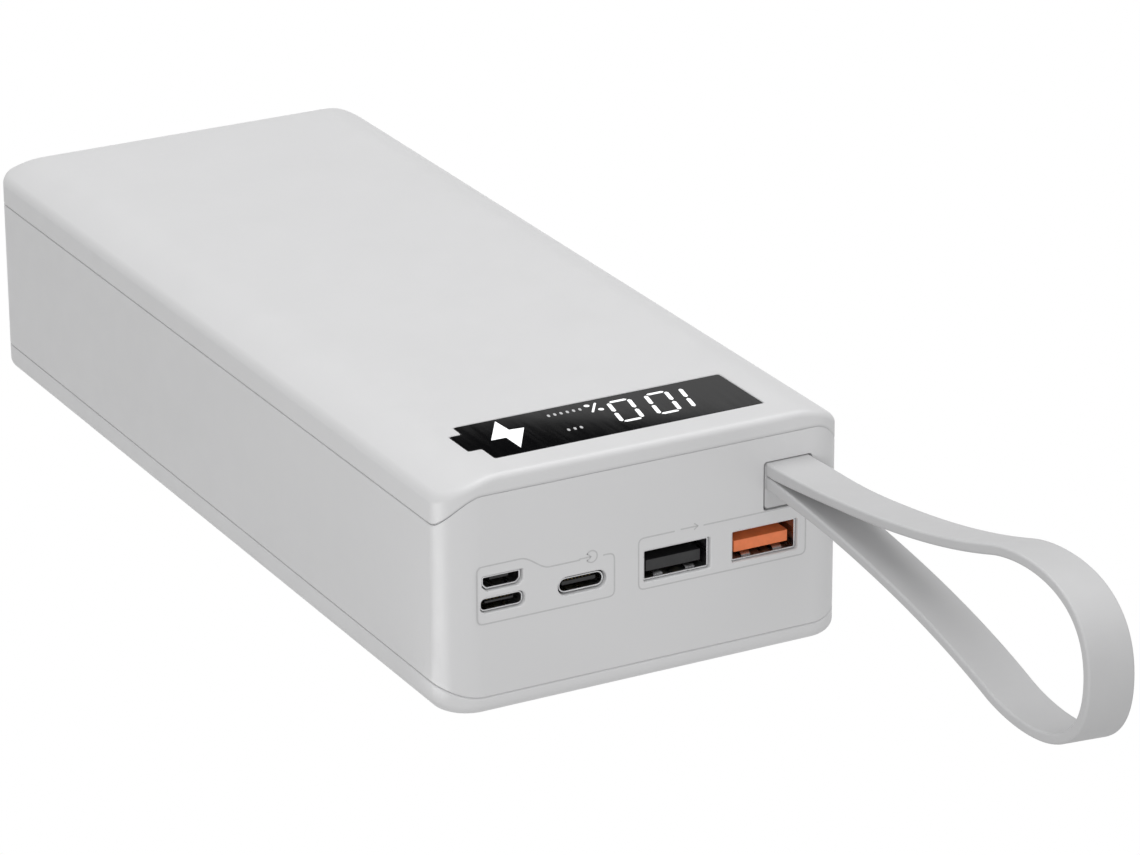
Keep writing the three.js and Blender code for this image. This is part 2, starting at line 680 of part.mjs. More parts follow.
function lead(x) {
  const side = Math.sign(x);
  const path = new THREE.CatmullRomCurve3([
    new THREE.Vector3(x, -74.2, 28.8),
    new THREE.Vector3(x - side * 0.4, -74.6, 25),
    new THREE.Vector3(x - side * 1.6, -75.8, 21.5),
    new THREE.Vector3(x - side * 2, -76.2, BOARD_TOP + 0.5),
  ]);
  const section = new THREE.Shape().absarc(0, 0, 1, 0, 2 * Math.PI);
  return new THREE.ExtrudeGeometry(section, { steps: 12, curveSegments: 4, extrudePath: path });
}

const STRIP_X = CELL_LENGTH / 2 + 0.1;
const FOAM_X = STRIP_X + STRIP_THICKNESS + 0.15;
const LEAD_X = 30.6;

function endFoam(x0) {
  return box(x0, x0 + FOAM_THICKNESS, PACK_FRONT, PACK_BACK - 3, CELL_LAYERS[0] - 8, CELL_LAYERS[1] + 8);
}

addNode('cell_separator', box(-31, 31, PACK_FRONT, PACK_BACK, SPLIT_Z - 0.25, SPLIT_Z + 0.25), 'separator');
addNode('positive_strip', nickelStrip(STRIP_X), 'nickel');
addNode('negative_strip', nickelStrip(-STRIP_X - STRIP_THICKNESS), 'nickel');
addNode('end_foam_right', endFoam(FOAM_X), 'foam');
addNode('end_foam_left', endFoam(-FOAM_X - FOAM_THICKNESS), 'foam');
addNode('battery_lead_positive', lead(LEAD_X), 'red');
addNode('battery_lead_negative', lead(-LEAD_X), 'wireBlack');

// Strap: a block that fills the slot from inside, and a teardrop loop that bends just outside it.

function strapAnchor() {
  const halfWidth = SLOT.width / 2 - GAP;
  const y = FRONT + WALL;
  const bottom = SLOT.bottom + GAP;
  const plug = box(STRAP.x - halfWidth, STRAP.x + halfWidth, FRONT + 0.1, y + 1, bottom, SLOT.top - GAP);
  const flange = box(STRAP.x - 6.2, STRAP.x + 6.2, y + GAP, y + 1.8, SLOT.bottom - 1.3, SLOT.top + 1.3);
  return toSolid(plug).add(toSolid(flange));
}

// The upper strand's centre line: distance from the front wall, and height over the loop's own axis
const strapRamp = new THREE.CubicBezierCurve(
  new THREE.Vector2(STRAP_HINGE, 1),
  new THREE.Vector2(30, 3.1),
  new THREE.Vector2(52, 6.2),
  new THREE.Vector2(72, 12.7),
);
const strapEnd = new THREE.CubicBezierCurve(
  new THREE.Vector2(72, 12.7),
  new THREE.Vector2(80.5, 15.5),
  new THREE.Vector2(101.3, 17),
  new THREE.Vector2(101.3, 0),
);

function strandSide(side) {
  const points = [];
  for (const [curve, steps] of [[strapRamp, 8], [strapEnd, 12]]) {
    for (let i = points.length ? 1 : 0; i <= steps; i += 1) {
      const along = curve.getTangent(i / steps);
      const out = new THREE.Vector2(-along.y, along.x).multiplyScalar(side * STRAP.thickness / 2);
      points.push(curve.getPoint(i / steps).add(out));
    }
  }
  return points;
}

function mirrored(points) {
  return points.slice(0, -1).reverse().map((p) => new THREE.Vector2(p.x, -p.y));
}

function toWall(points) {
  return points.map((p) => new THREE.Vector2(FRONT - p.x, STRAP.z + p.y));
}

function strapLoop() {
  const outer = strandSide(1);
  const knuckle = [];
  const knuckleR = outer[0].y;
  for (let i = 1; i < ROUND_STEPS; i += 1) {
    const turn = -Math.PI / 2 - (i / ROUND_STEPS) * Math.PI;
    knuckle.push(new THREE.Vector2(STRAP_HINGE + knuckleR * Math.cos(turn), knuckleR * Math.sin(turn)));
  }
  const inner = strandSide(-1).slice(1);
  const shape = new THREE.Shape(toWall([...outer, ...mirrored(outer), ...knuckle]));
  shape.holes.push(new THREE.Path(toWall([...inner, ...mirrored(inner)])));
  return acrossX(shape, STRAP.x - STRAP.width / 2, STRAP.x + STRAP.width / 2);
}

addNode('strap_anchor', toGeometry(strapAnchor()), 'strap');
addNode('strap_loop', strapLoop(), 'strap');

export default powerBank;
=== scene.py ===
"""The looks of a power bank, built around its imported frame. Metres, +Z up, and the ports face -Y."""
import math
from functools import partial

import bmesh
import bpy
from mathutils import Matrix, Vector


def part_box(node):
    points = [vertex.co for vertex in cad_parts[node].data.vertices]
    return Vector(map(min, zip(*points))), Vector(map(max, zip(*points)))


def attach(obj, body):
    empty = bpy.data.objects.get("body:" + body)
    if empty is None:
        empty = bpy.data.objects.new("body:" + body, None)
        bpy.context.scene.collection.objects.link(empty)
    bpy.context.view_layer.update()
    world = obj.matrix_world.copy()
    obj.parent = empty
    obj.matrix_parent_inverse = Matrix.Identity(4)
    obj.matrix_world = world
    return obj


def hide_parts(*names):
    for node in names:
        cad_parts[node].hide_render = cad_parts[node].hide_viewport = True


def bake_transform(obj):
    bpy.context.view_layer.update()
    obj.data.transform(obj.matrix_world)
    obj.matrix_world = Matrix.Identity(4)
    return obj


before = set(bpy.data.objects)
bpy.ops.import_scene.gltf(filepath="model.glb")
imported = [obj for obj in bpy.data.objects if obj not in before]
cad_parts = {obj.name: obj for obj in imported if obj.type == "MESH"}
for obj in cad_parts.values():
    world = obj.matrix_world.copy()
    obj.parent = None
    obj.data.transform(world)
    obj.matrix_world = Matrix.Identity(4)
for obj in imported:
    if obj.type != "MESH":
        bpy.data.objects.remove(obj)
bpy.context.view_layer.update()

MM = 0.001

# Case: its outside comes from the frame, and the rest repeats the frame's own driving sizes.
FRAME_LOW, FRAME_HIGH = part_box("middle_frame")
HALF_WIDTH = FRAME_HIGH.x
HALF_LENGTH = FRAME_HIGH.y
FRONT = -HALF_LENGTH
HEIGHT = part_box("top_cover")[1].z
CORNER_RADIUS = 7 * MM
WALL = 2 * MM
TOP_EDGE = 1.2 * MM
BOTTOM_EDGE = 2 * MM
SHOULDER_WIDTH = 10.5 * MM
SHOULDER_DROP = 4.5 * MM
SHOULDER_STEPS = 12
CEILING = 2.2 * MM
CAD_GAP = 0.3 * MM
SEAM_GAP = 0.14 * MM
SEAM_BEND = math.radians(88)
TOP_SEAM = FRAME_HIGH.z + CAD_GAP / 2
TOP_SEAM_DROP = -6.4 * MM
BOTTOM_SEAM = FRAME_LOW.z - CAD_GAP / 2
BOTTOM_SEAM_RISE = 1.8 * MM
LIP_OUTER = 2.3 * MM
LIP_INNER = 3.5 * MM
TOP_LIP_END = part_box("top_cover")[0].z
BOTTOM_LIP_END = 8 * MM
TONGUE = (0.5 * MM, 1.2 * MM)
GROOVE = (0.42 * MM, 1.3 * MM)
TONGUE_REACH = 0.8 * MM
GROOVE_DEPTH = 1.0 * MM
SEAM_EDGE = 0.3 * MM
CORNER_STEPS = 18


# ---- meshes

MERGE_DISTANCE = 0.0001 * MM


def finish_mesh(piece, sharp=32):
    """Smooth shading that keeps creases over the given angle in degrees."""
    piece.data.shade_smooth()
    piece.data.set_sharp_from_angle(angle=math.radians(sharp))
    weighted = piece.modifiers.new("weighted_normals", "WEIGHTED_NORMAL")
    weighted.keep_sharp = True


def to_object(name, bm):
    """Links an object made from a bmesh, with its faces turned outwards."""
    bmesh.ops.recalc_face_normals(bm, faces=bm.faces)
    mesh = bpy.data.meshes.new(name)
    bm.to_mesh(mesh)
    bm.free()
    made = bpy.data.objects.new(name, mesh)
    bpy.context.scene.collection.objects.link(made)
    return made


def to_piece(name, bm, material, sharp=32):
    """A piece of the object: merged where its points meet, shaded and given its material."""
    bmesh.ops.remove_doubles(bm, verts=bm.verts, dist=MERGE_DISTANCE)
    piece = to_object(name, bm)
    piece.data.materials.append(material)
    finish_mesh(piece, sharp)
    return piece


def add_rings(bm, rings, looped=False):
    """Walls through rings of equal point count: the first and last are capped, or joined when looped."""
    rows = [[bm.verts.new(point) for point in ring] for ring in rings]
    count = len(rows[0])
    pairs = list(zip(rows, rows[1:]))
    if looped:
        pairs.append((rows[-1], rows[0]))
    for low, high in pairs:
        for i in range(count):
            j = (i + 1) % count
            bm.faces.new((low[i], low[j], high[j], high[i]))
    if not looped:
        bm.faces.new(rows[0])
        bm.faces.new(rows[-1])


def rounded_rect(width, height, radius, steps=6):
    points = []
    for quarter, (sx, sy) in enumerate(((1, 1), (-1, 1), (-1, -1), (1, -1))):
        for step in range(steps + 1):
            turn = (quarter + step / steps) * math.pi / 2
            x = sx * (width / 2 - radius) + radius * math.cos(turn)
            y = sy * (height / 2 - radius) + radius * math.sin(turn)
            points.append((x, y))
    return points


def circle(radius, steps, centre):
    points = []
    for step in range(steps):
        turn = 2 * math.pi * step / steps
        points.append((centre[0] + radius * math.cos(turn), centre[1] + radius * math.sin(turn), centre[2]))
    return points


def cut_corner_rect(width, height, cut):
    """A rectangle whose two lower corners are cut off."""
    x, y = width / 2, height / 2
    return [(x, y), (-x, y), (-x, cut - y), (cut - x, -y), (x - cut, -y), (x, cut - y)]


def soften(corners, radius, steps=3):
    """Rounds each corner of a closed outline."""
    points = []
    count = len(corners)
    for i, corner in enumerate(corners):
        here = Vector(corner)
        before = here + (Vector(corners[i - 1]) - here).normalized() * radius
        after = here + (Vector(corners[(i + 1) % count]) - here).normalized() * radius
        for step in range(steps + 1):
            t = step / steps
            points.append(tuple(before * (1 - t) ** 2 + here * 2 * t * (1 - t) + after * t * t))
    return points


def rounded_steps(radius, steps=3):
    """(inset, drop) pairs round a quarter fillet, from the side wall to the flat."""
    pairs = []
    for step in range(steps + 1):
        turn = step / steps * math.pi / 2
        pairs.append((radius * (1 - math.cos(turn)), radius * (1 - math.sin(turn))))
    return pairs


def slab_rings(outline, length, edge, steps=3):
    """Rings of a prism with rounded ends. outline(grow) gives its section, and it runs from 0 to length."""
    rings = []
    for inset, drop in reversed(rounded_steps(edge, steps)):
        rings.append((outline(-inset), drop))
    for inset, drop in rounded_steps(edge, steps):
        rings.append((outline(-inset), length - drop))
    return rings


AXES = {
    "x": lambda a, b, along: Vector((along, a, b)),
    "y": lambda a, b, along: Vector((a, along, b)),
    "z": lambda a, b, along: Vector((a, b, along)),
}


def add_slab(bm, outline, length, edge, place, axis, steps=3):
    """A rounded prism along an axis, from place. Its section lies in the other two axes."""
    rings = []
    for section, along in slab_rings(outline, length, edge, steps):
        rings.append([Vector(place) + AXES[axis](a, b, along) for a, b in section])
    add_rings(bm, rings)


def add_block(bm, low, high, edge=0.1 * MM):
    """A box with rounded ends in Z and small rounded upright corners."""
    width, depth = high[0] - low[0], high[1] - low[1]
    place = ((low[0] + high[0]) / 2, (low[1] + high[1]) / 2, low[2])
    radius = min(edge * 2, width / 3, depth / 3)

    def outline(grow):
        return rounded_rect(width + 2 * grow, depth + 2 * grow, radius + grow, 2)
    height = high[2] - low[2]
    add_slab(bm, outline, height, min(edge, height / 3), place, "z", 2)


def boolean(piece, bm, operation="DIFFERENCE"):
    """Cuts a bmesh out of a piece, or joins it on with UNION, by one exact boolean."""
    cutter = to_object("cutter", bm)
    modifier = piece.modifiers.new("cut", "BOOLEAN")
    modifier.operation = operation
    modifier.solver = "EXACT"
    modifier.object = cutter
    bpy.context.view_layer.update()
    shaded = piece.modifiers.get("weighted_normals")
    if shaded:
        piece.modifiers.remove(shaded)
    graph = bpy.context.evaluated_depsgraph_get()
    result = bpy.data.meshes.new_from_object(piece.evaluated_get(graph))
    piece.modifiers.clear()
    piece.data = result
    bpy.data.objects.remove(cutter)
    finish_mesh(piece)


def bezier(points, t):
    """A point of a cubic curve in the plane."""
    a, b, c, d = (Vector(p) for p in points)
    s = 1 - t
    return a * s ** 3 + b * 3 * s * s * t + c * 3 * s * t * t + d * t ** 3


def smoothstep(value):
    value = min(max(value, 0), 1)
    return value * value * (3 - 2 * value)


# ---- materials

WHITE = (1, 1, 1, 1)


class Look:
    """A principled material whose colour, roughness and surface get procedural detail."""

    def __init__(self, name, color, roughness, **sockets):
        self.material = bpy.data.materials.new(name)
        self.material.use_nodes = True
        self.tree = self.material.node_tree
        self.shader = self.tree.nodes["Principled BSDF"]
        self.color = (*color, 1)
        self.roughness = roughness
        self.shader.inputs["Base Color"].default_value = self.color
        self.shader.inputs["Roughness"].default_value = roughness
        for socket, value in sockets.items():
            self.shader.inputs[socket.replace("_", " ")].default_value = value
        self.place = self.tree.nodes.new("ShaderNodeTexCoord").outputs["Object"]

    def node(self, kind, **inputs):
        made = self.tree.nodes.new(kind)
        for socket, value in inputs.items():
            made.inputs[socket.replace("_", " ")].default_value = value
        return made

    def link(self, source, target):
        self.tree.links.new(source, target)

    def noise(self, scale, detail=3, stretch=None):
        """Noise of about 1/scale metres. stretch scales each axis, for a grain that runs one way."""
        made = self.node("ShaderNodeTexNoise", Scale=scale, Detail=detail)
        place = self.place
        if stretch:
            mapping = self.node("ShaderNodeMapping")
            mapping.inputs["Scale"].default_value = stretch
            self.link(place, mapping.inputs["Vector"])
            place = mapping.outputs["Vector"]
        self.link(place, made.inputs["Vector"])
        return made.outputs["Fac"]

    def range(self, source, low, high, start=0.3, end=0.7):
        made = self.node("ShaderNodeMapRange")
        for socket, value in zip(("From Min", "From Max", "To Min", "To Max"), (start, end, low, high)):
            made.inputs[socket].default_value = value
        self.link(source, made.inputs["Value"])
        return made.outputs["Result"]

    def mottle(self, source, darkest):
        """Shades the colour between its own value and darkest times that."""
        ramp = self.node("ShaderNodeValToRGB")
        ramp.color_ramp.elements[0].position = 0.3
        ramp.color_ramp.elements[1].position = 0.7
        ramp.color_ramp.elements[0].color = (*(c * darkest for c in self.color[:3]), 1)
        ramp.color_ramp.elements[1].color = self.color
        self.link(source, ramp.inputs["Fac"])
        self.link(ramp.outputs["Color"], self.shader.inputs["Base Color"])
        return self

    def gloss(self, source, spread):
        """Varies the roughness by spread either way."""
        varied = self.range(source, self.roughness - spread, self.roughness + spread)
        self.link(varied, self.shader.inputs["Roughness"])
        return self

    def relief(self, source, depth, strength=1.0):
        """A bump of the given depth in metres."""
        bump = self.node("ShaderNodeBump", Strength=strength, Distance=depth)
        self.link(source, bump.inputs["Height"])
        self.link(bump.outputs["Normal"], self.shader.inputs["Normal"])
        return self


def case_plastic():
    """White ABS with a fine spark-eroded grain."""
    look = Look("case_plastic", (0.70, 0.70, 0.706), 0.42, Specular_IOR_Level=0.45)
    look.mottle(look.noise(45, 4), 0.985)
    look.gloss(look.noise(260, 3), 0.05)
    look.relief(look.noise(3800, 2), 0.016 * MM, 0.35)
    return look.material


def strap_rubber():
    """Pale grey elastomer, with a faint grain and handling marks."""
    look = Look("strap_rubber", (0.57, 0.57, 0.575), 0.62, Specular_IOR_Level=0.3)
    look.mottle(look.noise(120, 4), 0.97)
    look.gloss(look.noise(300, 3), 0.06)
    look.relief(look.noise(2600, 2), 0.02 * MM, 0.4)
    return look.material


def window_acrylic():
    """Polished black acrylic, with hair-fine scratches in its gloss."""
    look = Look("window_acrylic", (0.0035, 0.0035, 0.004), 0.035, Specular_IOR_Level=0.4)
    look.mottle(look.noise(200, 3), 0.8)
    look.gloss(look.noise(900, 2, (1, 0.08, 1)), 0.008)
    return look.material


def light_guide(name, color, glow, darkest):
    """A milky light guide that glows white."""
    look = Look(name, color, 0.4, Emission_Color=WHITE, Emission_Strength=glow)
    look.mottle(look.noise(1500, 2), darkest)
    return look.material


def outline_print():
    """Pale grey pad print on the case."""
    look = Look("outline_print", (0.55, 0.55, 0.555), 0.55)
    look.mottle(look.noise(900, 3), 0.94)
    look.relief(look.noise(3800, 2), 0.01 * MM, 0.3)
    return look.material


def metal(name, color, roughness):
    """Rolled or stamped sheet metal, with drawing marks along Y."""
    look = Look(name, color, roughness, Metallic=1.0)
    look.mottle(look.noise(500, 3), 0.85)
    look.gloss(look.noise(900, 3, (1, 0.06, 1)), 0.08)
    look.relief(look.noise(1800, 2, (1, 0.05, 1)), 0.005 * MM, 0.4)
    return look.material


def grained(name, color, roughness, depth, scale=2200):
    """A plain finish with a grain of the given depth."""
    look = Look(name, color, roughness)
    look.mottle(look.noise(160, 3), 0.82)
    look.gloss(look.noise(400, 2), 0.05)
    look.relief(look.noise(scale, 3), depth, 0.6)
    return look.material


def circuit_board():
    """Green solder mask with darker tracks that run under it."""
    look = Look("circuit_board", (0.02, 0.12, 0.05), 0.32)
    look.mottle(look.noise(420, 1, (1, 0.25, 1)), 0.6)
    look.gloss(look.noise(500, 2), 0.06)
    look.relief(look.noise(900, 1, (1, 0.3, 1)), 0.02 * MM, 0.5)
    return look.material


def nylon(name, color):
    """Moulded glass-filled nylon, as in a port's tongue."""
    look = Look(name, color, 0.42)
    look.mottle(look.noise(700, 3), 0.88)
    look.gloss(look.noise(500, 2), 0.06)
    look.relief(look.noise(3000, 2), 0.01 * MM, 0.4)
    return look.material


def gold():
    """Thin gold plate on a contact."""
    look = Look("contact_gold", (0.83, 0.6, 0.24), 0.25, Metallic=1.0)
    look.mottle(look.noise(900, 3), 0.85)
    look.gloss(look.noise(1200, 2), 0.06)
    return look.material


MATERIALS = {
    "case_plastic": case_plastic(),
    "strap_rubber": strap_rubber(),
    "window_acrylic": window_acrylic(),
    "lit": light_guide("lit_segment", (0.85, 0.86, 0.87), 0.55, 0.9),
    "dim": light_guide("dim_segment", (0.5, 0.5, 0.51), 0.12, 0.85),
    "print": outline_print(),
    "port_steel": metal("port_steel", (0.66, 0.66, 0.67), 0.3),
    "black_insulator": nylon("black_insulator", (0.015, 0.015, 0.016)),
    "orange_insulator": nylon("orange_insulator", (0.95, 0.24, 0.08)),
    "gold": gold(),
    "display_black": nylon("display_black", (0.02, 0.02, 0.02)),
    "circuit_board": circuit_board(),
    "chip_epoxy": nylon("chip_epoxy", (0.02, 0.02, 0.022)),
    "inductor_ferrite": grained("inductor_ferrite", (0.06, 0.06, 0.065), 0.7, 0.03 * MM),
    "ribbon_polyimide": grained("ribbon_polyimide", (0.5, 0.2, 0.04), 0.35, 0.01 * MM),
    "cell_wrap": grained("cell_wrap", (0.05, 0.2, 0.45), 0.32, 0.01 * MM),
    "separator_sheet": grained("separator_sheet", (0.6, 0.55, 0.4), 0.8, 0.02 * MM),
    "foam_black": grained("foam_black", (0.03, 0.03, 0.03), 0.95, 0.12 * MM, 1400),
    "lead_red": grained("lead_red", (0.5, 0.02, 0.02), 0.45, 0.01 * MM),
    "lead_black": grained("lead_black", (0.02, 0.02, 0.02), 0.45, 0.01 * MM),
    "nickel": metal("nickel", (0.6, 0.57, 0.5), 0.35),
    "capacitor_can": metal("capacitor_can", (0.7, 0.7, 0.71), 0.28),
}


def dress(piece, body, slot, *replaced):
    """Names the body that a piece rides on, and hides the frame nodes it stands for. slot is not used."""
    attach(piece, body)
    if replaced:
        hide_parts(*replaced)


# ---- case

def seam(front_height, change):
    """A seam's height as a function of y: it leaves the front wall's height in the front corners."""
    def height(y):
        across = min(max((y - FRONT) / CORNER_RADIUS, 0), 1)
        turn = math.acos(1 - across)
        return front_height + change * smoothstep(turn / SEAM_BEND)
    return height


top_seam = seam(TOP_SEAM, TOP_SEAM_DROP)
bottom_seam = seam(BOTTOM_SEAM, BOTTOM_SEAM_RISE)


def plan_outline(inset):
    """The case's outline from above, drawn in by inset, with points along the shoulders' start."""
    radius = max(CORNER_RADIUS - inset, 0.5 * MM)
    run_x, run_y = HALF_WIDTH - inset - radius, HALF_LENGTH - inset - radius
    shoulder_x = min(HALF_WIDTH - SHOULDER_WIDTH, run_x - 0.4 * MM)
    shoulder_y = min(HALF_LENGTH - SHOULDER_WIDTH, run_y - 0.4 * MM)
    shares = (0.75, 0.5, 0.25, 0)
    across = [shoulder_x + (run_x - shoulder_x) * share for share in shares]
    across += [-x for x in reversed(across)]
    along = [shoulder_y + (run_y - shoulder_y) * share for share in shares]
    points = []

    def add_corner(sx, sy, start):
        for step in range(CORNER_STEPS + 1):
            turn = start + step / CORNER_STEPS * math.pi / 2
            points.append((sx * run_x + radius * math.cos(turn), sy * run_y + radius * math.sin(turn)))
    add_corner(1, 1, 0)
    points.extend((x, HALF_LENGTH - inset) for x in across)
    add_corner(-1, 1, math.pi / 2)
    points.extend((inset - HALF_WIDTH, y) for y in along)
    add_corner(-1, -1, math.pi)
    points.extend((-x, inset - HALF_LENGTH) for x in across)
    add_corner(1, -1, 1.5 * math.pi)
    points.extend((HALF_WIDTH - inset, y) for y in reversed(along))
    return points


def case_ring(inset, height, seam_height=None):
    """The case's outline at a height, which is over the seam when one is given."""
    return [(x, y, height + (seam_height(y) if seam_height else 0)) for x, y in plan_outline(inset)]


def shoulder_drop(x, y):
    """How far the top face lies below its own middle: it slopes down to both sides and to the back."""
    across = max(abs(x) - (HALF_WIDTH - SHOULDER_WIDTH), 0) / SHOULDER_WIDTH
    along = max(y - (HALF_LENGTH - SHOULDER_WIDTH), 0) / SHOULDER_WIDTH
    return SHOULDER_DROP * math.hypot(across ** 2, along ** 2)


def top_ring(inset, depth):
    """The case's outline at a depth below the top face."""
    return [(x, y, HEIGHT - depth - shoulder_drop(x, y)) for x, y in plan_outline(inset)]


def shoulder_insets(start):
    """Insets in even steps from start to where the flat middle begins."""
    steps = range(1, SHOULDER_STEPS + 1)
    return [start + (SHOULDER_WIDTH - start) * step / SHOULDER_STEPS for step in steps]


def seam_rings(seam_height, start, step, side, depth):
    """The rings of a shell's edge along a seam, from start outwards. side is 1 on the shell over the seam.

    Between the two insets of step it goes up by depth, or down when that is negative: a tongue or a groove.
    """
    rise = side * SEAM_GAP / 2
    outer, inner = step
    stations = [(start, rise), (inner, rise), (inner, rise + depth), (outer, rise + depth), (outer, rise)]
    stations += [(inset, rise + side * drop) for inset, drop in reversed(rounded_steps(SEAM_EDGE, 3))]
    return [case_ring(inset, height, seam_height) for inset, height in stations]


def cover_edge_rings(lip_end, seam_height, side):
    """A cover's lip, and the tongue and rim along its seam."""
    lip = [case_ring(LIP_INNER, lip_end), case_ring(LIP_OUTER, lip_end)]
    return lip + seam_rings(seam_height, LIP_OUTER, TONGUE, side, -side * TONGUE_REACH)


def frame_rings():
    """Out along the lower seam, up the outside of the wall, and back in along the upper seam."""
    lower = seam_rings(bottom_seam, WALL, GROOVE, 1, GROOVE_DEPTH)
    upper = seam_rings(top_seam, WALL, GROOVE, -1, -GROOVE_DEPTH)
    return lower + list(reversed(upper))


def top_cover_rings():
    """From the middle of the ceiling out to the lip, round the tongue and seam, and back over the top."""
    rings = [top_ring(inset, CEILING) for inset in reversed(shoulder_insets(LIP_INNER))]
    rings += [top_ring(LIP_INNER, CEILING)] + cover_edge_rings(TOP_LIP_END, top_seam, 1)
    rings += [top_ring(inset, drop) for inset, drop in rounded_steps(TOP_EDGE, 7)]
    return rings + [top_ring(inset, 0) for inset in shoulder_insets(TOP_EDGE)]


def bottom_cover_rings():
    """From the floor out to the lip, round the tongue and seam, and down to the base."""
    rings = [case_ring(LIP_INNER, WALL)] + cover_edge_rings(BOTTOM_LIP_END, bottom_seam, -1)
    return rings + [case_ring(inset, drop) for inset, drop in rounded_steps(BOTTOM_EDGE, 8)]


# The openings of the ports, by the shell behind each, then the strap's slot and the button's outline
USB_A_OPENING = {"width": 13.3 * MM, "height": 5.9 * MM, "radius": 0.4 * MM}
OPENINGS = {
    "usb_a_shell_left": USB_A_OPENING,
    "usb_a_shell_right": USB_A_OPENING,
    "usb_c_shell": {"width": 9.5 * MM, "height": 3.4 * MM, "radius": 1.69 * MM},
    "micro_usb_shell": {"width": 7.9 * MM, "height": 2.8 * MM, "cut": 0.9 * MM},
    "eight_pin_shell": {"width": 8.7 * MM, "height": 2.8 * MM, "radius": 1.2 * MM},
}
MOUTH_EDGE = 0.35 * MM
THROUGH = 2 * WALL
SLOT_BOTTOM, SLOT_TOP = 27.0 * MM, 36.2 * MM
SLOT = {"width": 9.8 * MM, "height": SLOT_TOP - SLOT_BOTTOM, "radius": 0.6 * MM}
SLOT_MIDDLE = (SLOT_BOTTOM + SLOT_TOP) / 2
SLOT_EDGE = 0.12 * MM
BUTTON = {"width": 12 * MM, "height": 5 * MM, "radius": 2.49 * MM}
BUTTON_CLEARANCE = 0.25 * MM
BUTTON_MOUTH = 0.35 * MM

# The window: what its recess leaves round it, under it and for its ledge, and the nub of its battery shape
WINDOW_GAP = 0.12 * MM
WINDOW_EDGE = 0.12 * MM
WINDOW_UNDER = 0.05 * MM
WINDOW_LEDGE = 1.5 * MM
WINDOW_NUB = {"depth": 2.6 * MM, "front": 4.9 * MM, "back": 12.5 * MM}

SCREWS = [f"board_screw_{number}" for number in range(1, 5)]


def window_outline(grow):
    """A battery lying on its side, from the frame's own window. grow moves every edge out."""
    low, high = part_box("display_window")
    left = low.x + WINDOW_NUB["depth"]
    nub_front, nub_back = low.y + WINDOW_NUB["front"], low.y + WINDOW_NUB["back"]
    corners = [
        (high.x + grow, low.y - grow),
        (high.x + grow, high.y + grow),
        (left - grow, high.y + grow),
        (left - grow, nub_back + grow),
        (low.x - grow, nub_back + grow),
        (low.x - grow, nub_front - grow),
        (left - grow, nub_front - grow),
        (left - grow, low.y - grow),
    ]
    return soften(corners, 0.5 * MM)


def add_window_prism(bm, stations):
    """A prism of the window's outline through (height, grow) pairs."""
    add_rings(bm, [[(x, y, z) for x, y in window_outline(grow)] for z, grow in stations])


def window_recess():
    """The recess that the window lies in, with a chamfered mouth."""
    low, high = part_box("display_window")
    mouth = WINDOW_GAP + WINDOW_EDGE
    bm = bmesh.new()
    add_window_prism(bm, [
        (low.z - WINDOW_UNDER, WINDOW_GAP),
        (high.z - WINDOW_EDGE, WINDOW_GAP),
        (HEIGHT + 0.002 * MM, mouth),
        (HEIGHT + MM, mouth),
    ])
    return bm


def window_sight():
    """The hole that the display is seen through. It leaves a ledge for the window."""
    bm = bmesh.new()
    add_window_prism(bm, [(HEIGHT - 3 * WALL, -WINDOW_LEDGE), (HEIGHT, -WINDOW_LEDGE)])
    return bm


def strap_notch():
    """The notch in the lip that clears the strap's block."""
    low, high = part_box("strap_anchor")
    side = 0.8 * MM
    bm = bmesh.new()
    add_block(
        bm,
        (low.x - side, FRONT + WALL + 0.1 * MM, TOP_LIP_END - MM),
        (high.x + side, FRONT + THROUGH, high.z + 0.5 * MM),
    )
    return bm


def build_top_cover():
    bm = bmesh.new()
    add_rings(bm, top_cover_rings())
    cover = to_piece("top_cover_shell", bm, MATERIALS["case_plastic"])
    for cut in (window_recess, window_sight, strap_notch):
        boolean(cover, cut())
    dress(cover, "case", "case_plastic", "top_cover")


def screw_boss(screw):
    """A hollow boss under a board screw, with a foot that widens into the floor."""
    centre = centre_of(screw)
    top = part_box("main_board")[0].z - 0.05 * MM
    bore, bore_depth = 1.15 * MM, 9 * MM
    profile = [
        (2.8 * MM, WALL - 0.2 * MM),
        (2.6 * MM, WALL + 0.4 * MM),
        (2.5 * MM, top - 0.2 * MM),
        (2.3 * MM, top),
        (bore, top),
        (bore, top - bore_depth),
    ]
    bm = bmesh.new()
    add_rings(bm, [circle(radius, 32, (centre.x, centre.y, z)) for radius, z in profile])
    return bm


def build_bottom_cover():
    bm = bmesh.new()
    add_rings(bm, bottom_cover_rings())
    cover = to_piece("bottom_cover_shell", bm, MATERIALS["case_plastic"])
    for screw in SCREWS:
        boolean(cover, screw_boss(screw), "UNION")
    dress(cover, "case", "case_plastic", "bottom_cover")


def section_of(opening, grow, steps=8):
    """An opening's outline, with every edge moved out by grow."""
    width, height = opening["width"] + 2 * grow, opening["height"] + 2 * grow
    if "cut" in opening:
        return soften(cut_corner_rect(width, height, opening["cut"] + grow / 2), 0.25 * MM)
    return rounded_rect(width, height, opening["radius"] + grow, steps)


def centre_of(node):
    low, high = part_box(node)
    return (low + high) / 2


def add_front_hole(bm, opening, steps, x, z, stations):
    """A hole through the front wall, centred on (x, z), by (grow, depth) pairs."""
    rings = []
    for grow, depth in stations:
        outline = section_of(opening, grow, steps)
        rings.append([(x + across, FRONT + depth, z + up) for across, up in outline])
    add_rings(bm, rings)


